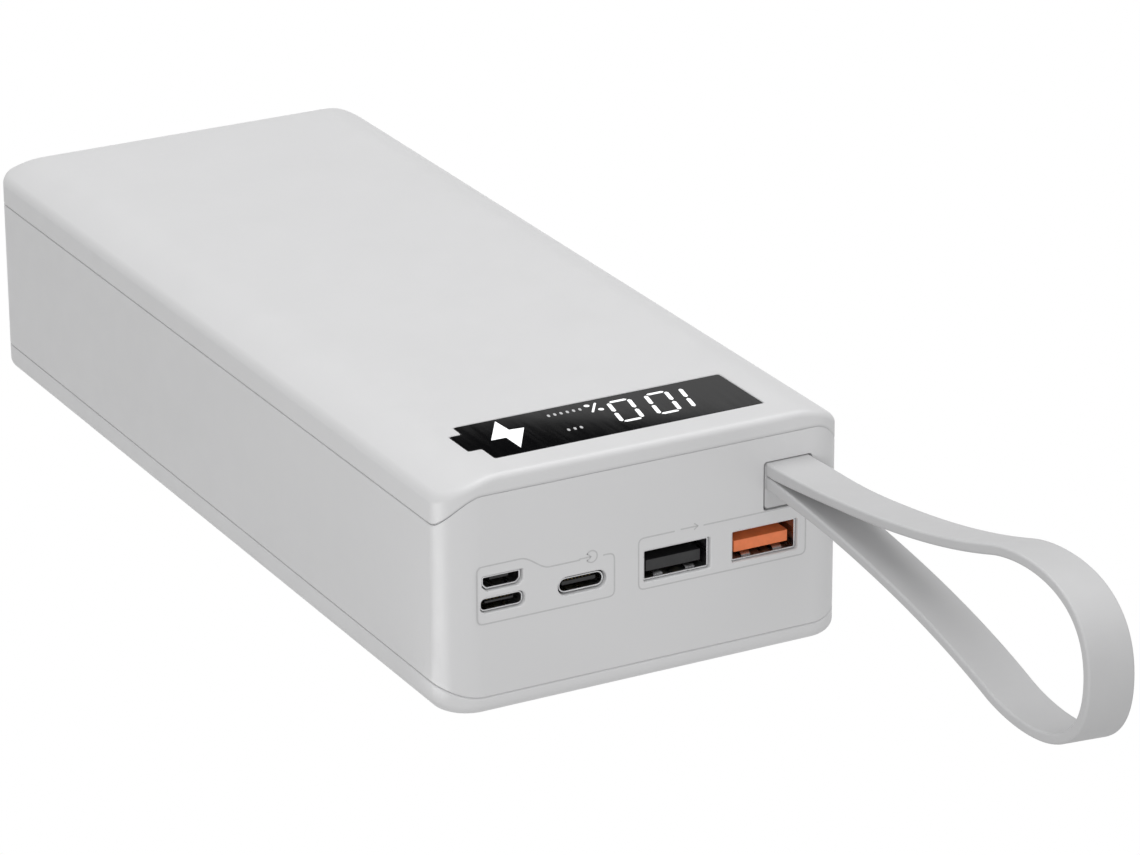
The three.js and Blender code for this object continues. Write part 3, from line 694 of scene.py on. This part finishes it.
def add_button_hole(bm):
    """The hole through the right wall for the button, with a chamfered mouth."""
    centre = centre_of("button_cap")
    stations = [
        (BUTTON_MOUTH, -MM),
        (BUTTON_MOUTH, 0),
        (BUTTON_CLEARANCE, BUTTON_MOUTH - BUTTON_CLEARANCE),
        (BUTTON_CLEARANCE, THROUGH),
    ]
    rings = []
    for grow, depth in stations:
        outline = section_of(BUTTON, grow, 10)
        rings.append([(HALF_WIDTH - depth, centre.y + y, centre.z + z) for y, z in outline])
    add_rings(bm, rings)


def wall_holes():
    """The port mouths, the strap's slot and the button's hole."""
    bm = bmesh.new()
    mouth = [(drop, inset - 0.01 * MM) for inset, drop in rounded_steps(MOUTH_EDGE, 4)]
    for node, opening in OPENINGS.items():
        centre = centre_of(node)
        add_front_hole(bm, opening, 8, centre.x, centre.z, [(MOUTH_EDGE, -MM), *mouth, (0, THROUGH)])
    middle = centre_of("strap_anchor").x
    stations = [(SLOT_EDGE, -MM), (SLOT_EDGE, 0), (0, SLOT_EDGE), (0, THROUGH)]
    add_front_hole(bm, SLOT, 5, middle, SLOT_MIDDLE, stations)
    add_button_hole(bm)
    return bm


def build_middle_frame():
    bm = bmesh.new()
    add_rings(bm, frame_rings(), looped=True)
    shell = to_piece("middle_frame_shell", bm, MATERIALS["case_plastic"])
    boolean(shell, wall_holes())
    dress(shell, "case", "case_plastic", "middle_frame")


build_top_cover()
build_middle_frame()
build_bottom_cover()


# ---- display

def build_window():
    low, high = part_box("display_window")
    bm = bmesh.new()
    edge = [(high.z - drop, -inset) for inset, drop in rounded_steps(WINDOW_EDGE, 3)]
    add_window_prism(bm, [(low.z, 0), *edge])
    window = to_piece("display_window_panel", bm, MATERIALS["window_acrylic"])
    dress(window, "case", "window_acrylic", "display_window")


WINDOW_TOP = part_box("display_window")[1].z
WINDOW_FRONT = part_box("display_window")[0].y
MARK_RISE = 0.02 * MM
MARK_SINK = 0.03 * MM


def add_mark(bm, outline):
    """A flat mark on the window. Its outline is in mm: x, and the distance from the window's front."""
    heights = (WINDOW_TOP - MARK_SINK, WINDOW_TOP + MARK_RISE)
    add_rings(bm, [[(x * MM, WINDOW_FRONT + y * MM, z) for x, y in outline] for z in heights])


def bar(x0, y0, x1, y1, thickness):
    """A bar with pointed ends from one point to another."""
    start, end = Vector((x0, y0)), Vector((x1, y1))
    along = (end - start).normalized()
    side = Vector((-along.y, along.x)) * thickness / 2
    tip = along * thickness / 2
    points = [start, start + tip - side, end - tip - side, end, end - tip + side, start + tip + side]
    return [tuple(p) for p in points]


# Digits are read from the back of the power bank, and lean the way that reader sees as italic.
DIGIT = {"width": 4.1, "height": 9.1, "near": 4.2, "lean": 0.215, "bar": 0.78, "gap": 0.3}
SEGMENTS = {
    "near": ((0, 0), (1, 0)),
    "far": ((0, 1), (1, 1)),
    "left_near": ((0, 0), (0, 0.5)),
    "left_far": ((0, 0.5), (0, 1)),
    "right_near": ((1, 0), (1, 0.5)),
    "right_far": ((1, 0.5), (1, 1)),
}
ZERO = tuple(SEGMENTS)
ONE = ("left_near", "left_far")


def digit_bars(left, lit):
    """The outlines of a digit's lit segments."""
    bars = []
    for name in lit:
        ends = []
        for u, v in SEGMENTS[name]:
            y = DIGIT["near"] + v * DIGIT["height"]
            ends.append(Vector((left + u * DIGIT["width"] + (y - DIGIT["near"]) * DIGIT["lean"], y)))
        along = (ends[1] - ends[0]).normalized() * DIGIT["gap"]
        start, end = ends[0] + along, ends[1] - along
        bars.append(bar(start.x, start.y, end.x, end.y, DIGIT["bar"]))
    return bars


# The other marks, in mm like the digits. A row of ticks is its count and near end.
PERCENT_BAR = (-2.1, 10.6, 0.4, 14.4, 0.42)
PERCENT_DOTS = ((-1.6, 13.8), (-0.1, 11.2))
PERCENT_DOT_RADIUS = 0.55
BOLT = [(-19.1, 15.1), (-23.8, 7.55), (-20.9, 7.5), (-20.8, 2.2), (-16.0, 10.1), (-18.8, 10.4)]
TICK_ROWS = ((6, 12.3), (3, 4.8))
TICK = {"first": -9.8, "pitch": 1.25, "lean": 0.25, "length": 1.2, "width": 0.5}


def percent_marks():
    marks = [bar(*PERCENT_BAR)]
    for x, y in PERCENT_DOTS:
        marks.append([(a, b) for a, b, _ in circle(PERCENT_DOT_RADIUS, 8, (x, y, 0))])
    return marks


def tick_bars():
    bars = []
    for count, near in TICK_ROWS:
        for i in range(count):
            x = TICK["first"] + TICK["pitch"] * i
            bars.append(bar(x, near, x + TICK["lean"], near + TICK["length"], TICK["width"]))
    return bars


def build_marks():
    digits = digit_bars(0.4, ZERO) + digit_bars(7.9, ZERO) + digit_bars(14.9, ONE)
    marks = (
        ("display_digits", digits, "lit"),
        ("display_percent", percent_marks(), "lit"),
        ("display_bolt", [BOLT], "lit"),
        ("display_ticks", tick_bars(), "dim"),
    )
    for name, outlines, look in marks:
        bm = bmesh.new()
        for outline in outlines:
            add_mark(bm, outline)
        dress(to_piece(name, bm, MATERIALS[look]), "case", "display_black")


build_window()
build_marks()


# ---- outlines printed round the ports

PRINT_WIDTH = 0.26 * MM
PRINT_RISE = 0.03 * MM
PRINT_SINK = 0.02 * MM
PRINT_RADIUS = 1.2 * MM


def add_print(bm, path, closed=False):
    """A printed line on the front wall along a path of (x, z) points."""
    points = [Vector(p) for p in path]
    count = len(points)
    left, right = [], []
    for i, here in enumerate(points):
        before = points[i - 1] if closed or i else here
        after = points[(i + 1) % count] if closed or i < count - 1 else here
        along = (after - before).normalized()
        side = Vector((-along.y, along.x)) * PRINT_WIDTH / 2
        left.append(here + side)
        right.append(here - side)
    face, back = FRONT - PRINT_RISE, FRONT + PRINT_SINK
    sections = []
    for a, b in zip(left, right):
        sections.append([(a.x, back, a.y), (a.x, face, a.y), (b.x, face, b.y), (b.x, back, b.y)])
    add_rings(bm, sections, looped=closed)


def path_with_corners(corners, radius, steps=5):
    """An open path through corners, each inner one rounded."""
    points = [tuple(corners[0])]
    for before, here, after in zip(corners, corners[1:], corners[2:]):
        here = Vector(here)
        start = here + (Vector(before) - here).normalized() * radius
        end = here + (Vector(after) - here).normalized() * radius
        for step in range(steps + 1):
            t = step / steps
            points.append(tuple(start * (1 - t) ** 2 + here * 2 * t * (1 - t) + end * t * t))
    points.append(tuple(corners[-1]))
    return points


# The two outlines on the front wall, which share a bottom. The left one has a lower and a higher top.
OUTLINE_BOTTOM = 17.2 * MM
LEFT_OUTLINE = {"left": -34.3 * MM, "right": -7.4 * MM, "low_top": 25.35 * MM, "high_top": 28.0 * MM}
LEFT_BEND = (-25.8 * MM, -20.2 * MM)
LEFT_GAP = (-14.2 * MM, -9.6 * MM)
RIGHT_OUTLINE = {"left": -2.6 * MM, "right": 31.2 * MM, "top": 26.9 * MM}
RIGHT_GAP = (4.6 * MM, 10.4 * MM)


def dress_print(name, bm):
    dress(to_piece(name, bm, MATERIALS["print"]), "case", "case_plastic")


def outline_path(left, right, start, end):
    """From start along the top, round the bottom and up to end. Both are (x, z) points of the top."""
    corners = [
        start,
        (right, start[1]),
        (right, OUTLINE_BOTTOM),
        (left, OUTLINE_BOTTOM),
        (left, end[1]),
        end,
    ]
    return path_with_corners(corners, PRINT_RADIUS)


def build_left_outline():
    """Open at its icon, with a top that steps up over the two stacked ports."""
    left, right, low_top, high_top = LEFT_OUTLINE.values()
    start, end = LEFT_BEND
    path = outline_path(left, right, (LEFT_GAP[1], low_top), (start, high_top))
    for step in range(1, 11):
        t = step / 10
        path.append((start + (end - start) * t, high_top + (low_top - high_top) * smoothstep(t)))
    path.append((LEFT_GAP[0], low_top))
    bm = bmesh.new()
    add_print(bm, path)
    dress_print("left_port_outline", bm)


def build_right_outline():
    left, right, top = RIGHT_OUTLINE.values()
    bm = bmesh.new()
    add_print(bm, outline_path(left, right, (RIGHT_GAP[1], top), (RIGHT_GAP[0], top)))
    dress_print("right_port_outline", bm)


def add_arrow(bm, centre, tail, tip, head):
    """A printed arrow along X. head is its barbs' and point's (x, z) in mm from the centre."""
    add_print(bm, [(centre.x + tail, centre.y), (centre.x + tip, centre.y)])
    add_print(bm, [(centre.x + x * MM, centre.y + z * MM) for x, z in head])


def build_port_icons():
    """An arrow into a broken ring for the inputs, and a plain arrow for the outputs."""
    bm = bmesh.new()
    into = Vector((-11.9 * MM, LEFT_OUTLINE["low_top"] + 0.2 * MM))
    radius = 1.1 * MM
    turns = [math.radians(angle) for angle in range(-150, 151, 15)]
    add_print(bm, [(into.x + radius * math.cos(turn), into.y + radius * math.sin(turn)) for turn in turns])
    add_arrow(bm, into, -2.4 * MM, -0.2 * MM, [(-0.9, 0.65), (-0.1, 0), (-0.9, -0.65)])
    out = Vector((7.5 * MM, RIGHT_OUTLINE["top"] + 0.1 * MM))
    add_arrow(bm, out, -1.7 * MM, 1.7 * MM, [(1.0, 0.6), (1.8, 0), (1.0, -0.6)])
    dress_print("port_icons", bm)


build_left_outline()
build_right_outline()
build_port_icons()


# ---- strap

STRAP_LOW, STRAP_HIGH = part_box("strap_loop")
STRAP_X = (STRAP_LOW.x + STRAP_HIGH.x) / 2
STRAP_Z = 33.5 * MM
STRAP_THICKNESS = 1.9 * MM
STRAP_WIDTH = STRAP_HIGH.x - STRAP_LOW.x
STRAP_EDGE = 0.45 * MM
ROOT_DEPTH = 0.4 * MM
ROOT_FLARE = 0.6 * MM
ROOT_START = 1.5 * MM
ROOT_REACH = 24 * MM

# The band's twist by shares of its length: it comes in from the upper root, and goes out past the end
TWIST = math.radians(-5)
TWIST_IN = 0.12
TWIST_OUT = {"start": 0.5, "share": 0.2}

# The upper strand's centre line in mm: distance from the front wall, and height over the loop's own axis
STRAP_RAMP = [(2.3, 1), (30, 3.1), (52, 6.2), (72, 12.7)]
STRAP_END = [(72, 12.7), (80.5, 15.5), (101.3, 17), (101.3, 0)]
STRAP_PLUG = {
    "width": SLOT["width"] - 2 * CAD_GAP,
    "height": SLOT["height"] - 2 * CAD_GAP,
    "radius": 0.7 * MM,
}


def strap_line():
    """The loop's centre line as (distance from the front wall, height over its own axis), root to root."""
    upper = [Vector((-ROOT_DEPTH / MM, 1)), Vector((0, 1)), Vector((1.2, 1))]
    upper += [bezier(STRAP_RAMP, step / 30) for step in range(31)]
    upper += [bezier(STRAP_END, step / 44) for step in range(1, 45)]
    lower = [Vector((p.x, -p.y)) for p in reversed(upper[:-1])]
    return [p * MM for p in upper + lower]


def strap_flare(distance):
    """How much thicker the band is near its root, by the distance from the front wall."""
    return ROOT_FLARE * (1 - smoothstep((distance - ROOT_START) / ROOT_REACH)) ** 1.5


def strap_roll(share):
    """The band's slope across its width, by the share of its length so far."""
    twisted_out = smoothstep((share - TWIST_OUT["start"]) / TWIST_OUT["share"])
    return math.tan(TWIST * smoothstep(share / TWIST_IN) * (1 - twisted_out))


def strap_rings():
    """The band's sections along its line: flat ones, thicker at the roots."""
    line = strap_line()
    lengths = [0]
    for before, after in zip(line, line[1:]):
        lengths.append(lengths[-1] + (after - before).length)
    rings = []
    for i, here in enumerate(line):
        before = line[max(i - 1, 0)]
        after = line[min(i + 1, len(line) - 1)]
        along = (after - before).normalized()
        normal = Vector((-along.y, along.x))
        flare = strap_flare(here.x)
        roll = strap_roll(lengths[i] / lengths[-1])
        ring = []
        for x, offset in rounded_rect(STRAP_WIDTH, STRAP_THICKNESS + flare, STRAP_EDGE, 4):
            point = here + normal * (offset + flare / 2)
            ring.append((STRAP_X + x, FRONT - point.x, STRAP_Z + point.y + x * roll))
        rings.append(ring)
    return rings


def build_strap():
    bm = bmesh.new()
    add_rings(bm, strap_rings())
    strap = to_piece("strap_band", bm, MATERIALS["strap_rubber"], 50)
    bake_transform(strap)
    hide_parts("strap_loop")


def build_anchor():
    """The strap's block: a plug in the slot, with a flange behind the wall."""
    low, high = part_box("strap_anchor")
    middle = (low.x + high.x) / 2
    plug = bmesh.new()
    section = partial(section_of, STRAP_PLUG, steps=5)
    add_slab(plug, section, 3 * MM, 0.25 * MM, (middle, low.y, SLOT_MIDDLE), "y")
    anchor = to_piece("strap_anchor_block", plug, MATERIALS["strap_rubber"])
    size = {"width": high.x - low.x, "height": high.z - low.z, "radius": 0.8 * MM}
    depth = 1.5 * MM
    flange = bmesh.new()
    section = partial(section_of, size, steps=5)
    add_slab(flange, section, depth, 0.2 * MM, (middle, high.y - depth, (low.z + high.z) / 2), "y")
    boolean(anchor, flange, "UNION")
    dress(anchor, "case", "strap_rubber", "strap_anchor")


build_strap()
build_anchor()


# ---- button

def build_button():
    """A rounded cap that stands out of the wall, with a flange that holds it in."""
    low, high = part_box("button_cap")
    centre = centre_of("button_cap")
    place = (low.x, centre.y, centre.z)
    stem = bmesh.new()
    add_slab(stem, partial(section_of, BUTTON, steps=12), high.x - low.x, 0.35 * MM, place, "x", 5)
    cap = to_piece("power_button", stem, MATERIALS["case_plastic"])
    flange = bmesh.new()
    add_slab(flange, lambda grow: section_of(BUTTON, grow + MM, 12), 0.9 * MM, 0.15 * MM, place, "x")
    boolean(cap, flange, "UNION")
    dress(cap, "button", "case_plastic", "button_cap")


build_button()


# ---- ports

SHEET = 0.3 * MM
SHELL_FRONT = FRONT + 0.7 * MM

# A shell's spring tab: (distance from the shell's front, height over its floor) in mm
TAB_PATH = [(0.6, 0.02), (1.3, 0.42), (2.0, 0.5), (4.6, 0.02)]
TAB_HALF_WIDTH = 0.9 * MM
TAB_OFFSETS = (-3.2 * MM, 3.2 * MM)

# A USB-A port's blade and base, measured from the port's centre, and its contacts
BLADE = {"half_width": 5.5 * MM, "bottom": -1.7 * MM, "top": 0.45 * MM}
BASE_HALF_WIDTH = 6.1 * MM
CONTACTS = {"count": 4, "pitch": 2.4 * MM, "half_width": 0.5 * MM, "length": 6 * MM}


def add_tube(bm, outline, thickness, front, back, centre):
    """An open tube along Y of sheet metal. outline(grow) gives its outer section."""
    lip = 0.07 * MM
    stations = [
        (-lip, front),
        (0, front + lip),
        (0, back),
        (-thickness, back),
        (-thickness, front + lip),
        (lip - thickness, front),
    ]
    rings = []
    for grow, y in stations:
        rings.append([(centre.x + x, y, centre.z + z) for x, z in outline(grow)])
    add_rings(bm, rings, looped=True)


def add_spring(bm, x, floor):
    """A tab cut from a shell's floor and bent up into the port."""
    left, right = x - TAB_HALF_WIDTH, x + TAB_HALF_WIDTH
    rings = []
    for forward, rise in TAB_PATH:
        y, low = SHELL_FRONT + forward * MM, floor + rise * MM
        high = low + SHEET / 2
        rings.append([(left, y, low), (right, y, low), (right, y, high), (left, y, high)])
    add_rings(bm, rings)


def build_usb_a_shell(node, side):
    """The sheet metal tube, with two spring tabs on its floor."""
    low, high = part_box(node)
    centre = (low + high) / 2
    size = {"width": high.x - low.x, "height": high.z - low.z, "radius": 0.5 * MM}
    bm = bmesh.new()
    add_tube(bm, partial(section_of, size, steps=6), SHEET, SHELL_FRONT, high.y, centre)
    floor = centre.z - size["height"] / 2 + SHEET
    for offset in TAB_OFFSETS:
        add_spring(bm, centre.x + offset, floor)
    shell = to_piece(f"usb_a_socket_{side}", bm, MATERIALS["port_steel"])
    dress(shell, "case", "port_steel", node)


def build_usb_a_tongue(shell_node, side, color):
    """The blade, and the base that closes the shell's back."""
    low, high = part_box(shell_node)
    centre, back = (low + high) / 2, high.y
    half_width = BLADE["half_width"]
    bm = bmesh.new()
    add_block(
        bm,
        (centre.x - half_width, SHELL_FRONT + 0.9 * MM, centre.z + BLADE["bottom"]),
        (centre.x + half_width, back - 2 * MM, centre.z + BLADE["top"]),
    )
    reach = (high.z - low.z) / 2 - SHEET - 0.1 * MM
    add_block(
        bm,
        (centre.x - BASE_HALF_WIDTH, back - 2.6 * MM, centre.z - reach),
        (centre.x + BASE_HALF_WIDTH, back - 0.1 * MM, centre.z + reach),
    )
    slot_name = f"{color}_insulator"
    tongue = to_piece(f"usb_a_blade_{side}", bm, MATERIALS[slot_name])
    dress(tongue, "case", slot_name, f"usb_a_tongue_{color}")


def build_usb_a_contacts(shell_node, side):
    """Four contacts let into the blade's lower face."""
    centre = centre_of(shell_node)
    face = centre.z + BLADE["bottom"]
    half_width, y = CONTACTS["half_width"], SHELL_FRONT + 2 * MM
    bm = bmesh.new()
    for i in range(CONTACTS["count"]):
        x = centre.x + (i - (CONTACTS["count"] - 1) / 2) * CONTACTS["pitch"]
        low = (x - half_width, y, face - 0.06 * MM)
        high = (x + half_width, y + CONTACTS["length"], face + 0.1 * MM)
        add_block(bm, low, high, 0.02 * MM)
    contacts = to_piece(f"usb_a_contacts_{side}", bm, MATERIALS["gold"])
    dress(contacts, "case", "nickel")


def build_usb_a(side, color):
    node = f"usb_a_shell_{side}"
    build_usb_a_shell(node, side)
    build_usb_a_tongue(node, side, color)
    build_usb_a_contacts(node, side)


# Small ports: the shell's node, the tongue's node, and the tongue's width, thickness and rise in mm
SMALL_PORTS = [
    ("usb_c_shell", "usb_c_tongue", 6.7, 0.7, 0),
    ("micro_usb_shell", "micro_usb_tongue", 3.7, 0.6, 0.35),
    ("eight_pin_shell", "eight_pin_contacts", 5.6, 0.4, 0),
]
SMALL_SHEET = 0.28 * MM

# Their contacts: as many as fit the blade at this room for each, in mm
CONTACT_ROOM = 0.75
SMALL_CONTACT = {"pitch": 0.7 * MM, "half_width": 0.17 * MM, "proud": 0.03 * MM}


def build_small_shell(node):
    """The sheet metal tube of a small port, as large as the frame's own."""
    low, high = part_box(node)
    opening = OPENINGS[node]
    slack = opening["width"] - (high.x - low.x)

    def section(grow):
        return section_of(opening, grow - slack / 2)
    bm = bmesh.new()
    add_tube(bm, section, SMALL_SHEET, SHELL_FRONT, high.y, (low + high) / 2)
    shell = to_piece(f"{node}_tube", bm, MATERIALS["port_steel"])
    dress(shell, "case", "port_steel", node)


def build_small_port(shell_node, tongue_node, width, thickness, rise):
    """A small port's shell, its blade and base, and contacts on both faces of the blade."""
    build_small_shell(shell_node)
    centre, back = centre_of(shell_node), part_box(shell_node)[1].y
    half, reach = width * MM / 2, thickness * MM / 2
    z = centre.z + rise * MM
    front = SHELL_FRONT + 0.8 * MM
    bm = bmesh.new()
    add_block(bm, (centre.x - half, front, z - reach), (centre.x + half, back - MM, z + reach), 0.06 * MM)
    base_low, base_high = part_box(tongue_node)
    add_block(
        bm,
        (base_low.x + 0.4 * MM, back - 1.3 * MM, base_low.z),
        (base_high.x - 0.4 * MM, back - 0.1 * MM, base_high.z),
    )
    blade = to_piece(f"{tongue_node}_blade", bm, MATERIALS["black_insulator"])
    dress(blade, "case", "black_insulator", tongue_node)

    count = int(width / CONTACT_ROOM)
    half_width, deep = SMALL_CONTACT["half_width"], reach + SMALL_CONTACT["proud"]
    bm = bmesh.new()
    for i in range(count):
        x = centre.x + (i - (count - 1) / 2) * SMALL_CONTACT["pitch"]
        low = (x - half_width, front + 0.5 * MM, z - deep)
        high = (x + half_width, front + 2.6 * MM, z + deep)
        add_block(bm, low, high, 0.01 * MM)
    contacts = to_piece(f"{tongue_node}_gold", bm, MATERIALS["gold"])
    dress(contacts, "case", "nickel")


build_usb_a("left", "black")
build_usb_a("right", "orange")
for port in SMALL_PORTS:
    build_small_port(*port)


# ---- cells

CELLS = [f"cell_{number:02d}" for number in range(1, 19)]
CELL_CAP = 4 * MM
CELL_CAP_HEIGHT = 0.9 * MM
CELL_POLE = 0.5 * MM  # the small disc that each end closes on


def build_cell(node):
    """A wrapped cell with rounded shoulders and a raised cap, along X like the frame's own."""
    low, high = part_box(node)
    centre, radius = (low + high) / 2, (high.z - low.z) / 2
    end = high.x - CELL_CAP_HEIGHT
    shoulder = [
        (radius - 2.2 * MM, 0),
        (radius - MM, 0),
        (radius - 0.3 * MM, 0.25 * MM),
        (radius, MM),
    ]
    stations = [(CELL_POLE, low.x)] + [(r, low.x + x) for r, x in shoulder]
    stations += [(r, end - x) for r, x in reversed(shoulder)]
    stations += [(CELL_CAP, end), (CELL_CAP, high.x - 0.2 * MM)]
    stations += [(CELL_CAP - 0.3 * MM, high.x), (CELL_POLE, high.x)]
    rings = []
    for r, x in stations:
        rings.append([(x, centre.y + dy, centre.z + dz) for dy, dz, _ in circle(r, 40, (0, 0, 0))])
    bm = bmesh.new()
    add_rings(bm, rings)
    cell = to_piece(f"wrapped_{node}", bm, MATERIALS["cell_wrap"])
    dress(cell, "case", "cell_wrap", node)


for cell_node in CELLS:
    build_cell(cell_node)


# ---- nodes that keep their own shape

KEPT_LOOKS = {
    "port_steel": SCREWS,
    "capacitor_can": ["capacitor"],
    "black_insulator": ["input_header", "tactile_switch", "switch_plunger"],
    "display_black": ["display_module"],
    "circuit_board": ["display_board", "main_board", "input_board"],
    "chip_epoxy": ["charge_chip", "controller_chip"],
    "inductor_ferrite": ["inductor_left", "inductor_right"],
    "ribbon_polyimide": ["display_ribbon"],
    "separator_sheet": ["cell_separator"],
    "nickel": ["positive_strip", "negative_strip"],
    "foam_black": ["end_foam_left", "end_foam_right"],
    "lead_red": ["battery_lead_positive"],
    "lead_black": ["battery_lead_negative"],
}
EDGE_WIDTH = 0.05 * MM
EDGE_WIDTHS = {"inductor_ferrite": 0.5 * MM, "foam_black": 0.4 * MM, "circuit_board": 0.08 * MM}


def dress_kept_nodes():
    """Gives the frame's inner parts their materials, and bevels their edges."""
    for slot_name, nodes in KEPT_LOOKS.items():
        for node_name in nodes:
            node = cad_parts[node_name]
            node.data.materials.clear()
            node.data.materials.append(MATERIALS[slot_name])
            bevel = node.modifiers.new("edges", "BEVEL")
            bevel.width = EDGE_WIDTHS.get(slot_name, EDGE_WIDTH)
            bevel.segments = 2
            bevel.limit_method = "ANGLE"
            bevel.angle_limit = math.radians(40)
            bevel.harden_normals = True


dress_kept_nodes()


# ---- stage

CAMERA = {
    "azimuth": math.radians(-28.2375),
    "elevation": math.radians(21.8654),
    "roll": math.radians(-0.2753),
    "distance": 1.01846,
    "aim": Vector((0.030220, -0.013857, 0.0112)),
    "lens": 168.384,
}
FLAG = {"distance": 4.0, "rise": math.radians(21.77), "half_width": 2.5, "height": 3.0}


def camera_back():
    """The direction from what the camera aims at to the camera."""
    turn, rise = CAMERA["azimuth"], CAMERA["elevation"]
    return Vector((math.sin(turn) * math.cos(rise), -math.cos(turn) * math.cos(rise), math.sin(rise)))


def glowing(name, strength):
    """A white emitter that reflects nothing."""
    look = Look(name, (0, 0, 0), 1, Specular_IOR_Level=0, Emission_Color=WHITE, Emission_Strength=strength)
    return look.material


def build_floor():
    """A white floor that adds no diffuse light to the object."""
    bm = bmesh.new()
    bmesh.ops.create_grid(bm, x_segments=2, y_segments=2, size=6)
    floor = to_object("floor", bm)
    floor.data.materials.append(glowing("floor", 1.0))
    floor.visible_diffuse = False


def add_card(name, corners, material):
    """A card that nothing but glossy surfaces sees."""
    mesh = bpy.data.meshes.new(name)
    mesh.from_pydata(corners, [], [(0, 1, 2, 3)])
    card = bpy.data.objects.new(name, mesh)
    card.data.materials.append(material)
    bpy.context.scene.collection.objects.link(card)
    card.visible_camera = False
    card.visible_diffuse = False
    card.visible_shadow = False


def build_corner_card():
    """A bright fan on the floor to the left, for the highlight down the front left corner."""
    near, far, z = -HALF_WIDTH - 4 * MM, -0.6, MM
    corners = [(near, FRONT + MM, z), (far, FRONT, z), (far, FRONT + 0.4, z), (near, FRONT + 14 * MM, z)]
    add_card("corner_card", corners, glowing("corner_card", 4.0))


def build_flag():
    """A dark card behind the power bank, whose foot gives the window its straight dark edge."""
    back = camera_back()
    mirrored = CAMERA["aim"] + back * CAMERA["distance"]
    mirrored.z = 2 * WINDOW_TOP - mirrored.z
    away = Vector((-back.x, -back.y, 0)).normalized()
    across = Vector((away.y, -away.x, 0)) * FLAG["half_width"]
    foot = mirrored + away * FLAG["distance"]
    foot.z = mirrored.z + FLAG["distance"] * math.tan(FLAG["rise"])
    top = Vector((0, 0, FLAG["height"]))
    look = Look("flag", (0.002, 0.002, 0.002), 1, Specular_IOR_Level=0)
    corners = [foot - across, foot + across, foot + across + top, foot - across + top]
    add_card("flag", corners, look.material)


def add_light(name, place, target, size, power):
    data = bpy.data.lights.new(name, "AREA")
    data.shape = "DISK"
    data.size = size
    data.energy = power
    light = bpy.data.objects.new(name, data)
    light.location = place
    light.rotation_euler = (Vector(target) - Vector(place)).to_track_quat("-Z", "Y").to_euler()
    bpy.context.scene.collection.objects.link(light)
    return light


def build_lights():
    world = bpy.data.worlds.new("studio")
    bpy.context.scene.world = world
    world.use_nodes = True
    sky = world.node_tree.nodes["Background"]
    sky.inputs["Color"].default_value = WHITE
    sky.inputs["Strength"].default_value = 0.51
    middle = (0, 0, HEIGHT / 2)
    corner = (-HALF_WIDTH, FRONT, HEIGHT / 2)
    add_light("overhead", place=(0.1, 0.1, 1.6), target=middle, size=2.0, power=18)
    key = add_light("front_left", place=(-0.44, -0.72, 0.25), target=corner, size=0.25, power=1.7)
    key.visible_glossy = False


def build_camera():
    turn, roll = CAMERA["azimuth"], CAMERA["roll"]
    back = camera_back()
    level = Vector((math.cos(turn), math.sin(turn), 0))
    right = level * math.cos(roll) + back.cross(level) * math.sin(roll)
    up = back.cross(right)
    data = bpy.data.cameras.new("camera")
    data.sensor_width = 36
    data.lens = CAMERA["lens"]
    data.clip_start = 0.05
    camera = bpy.data.objects.new("camera", data)
    turned = Matrix((right, up, back)).transposed().to_4x4()
    camera.matrix_world = Matrix.Translation(CAMERA["aim"] + back * CAMERA["distance"]) @ turned
    bpy.context.scene.collection.objects.link(camera)
    bpy.context.scene.camera = camera


build_floor()
build_flag()
build_corner_card()
build_lights()
build_camera()
bpy.context.scene.view_settings.view_transform = "Standard"
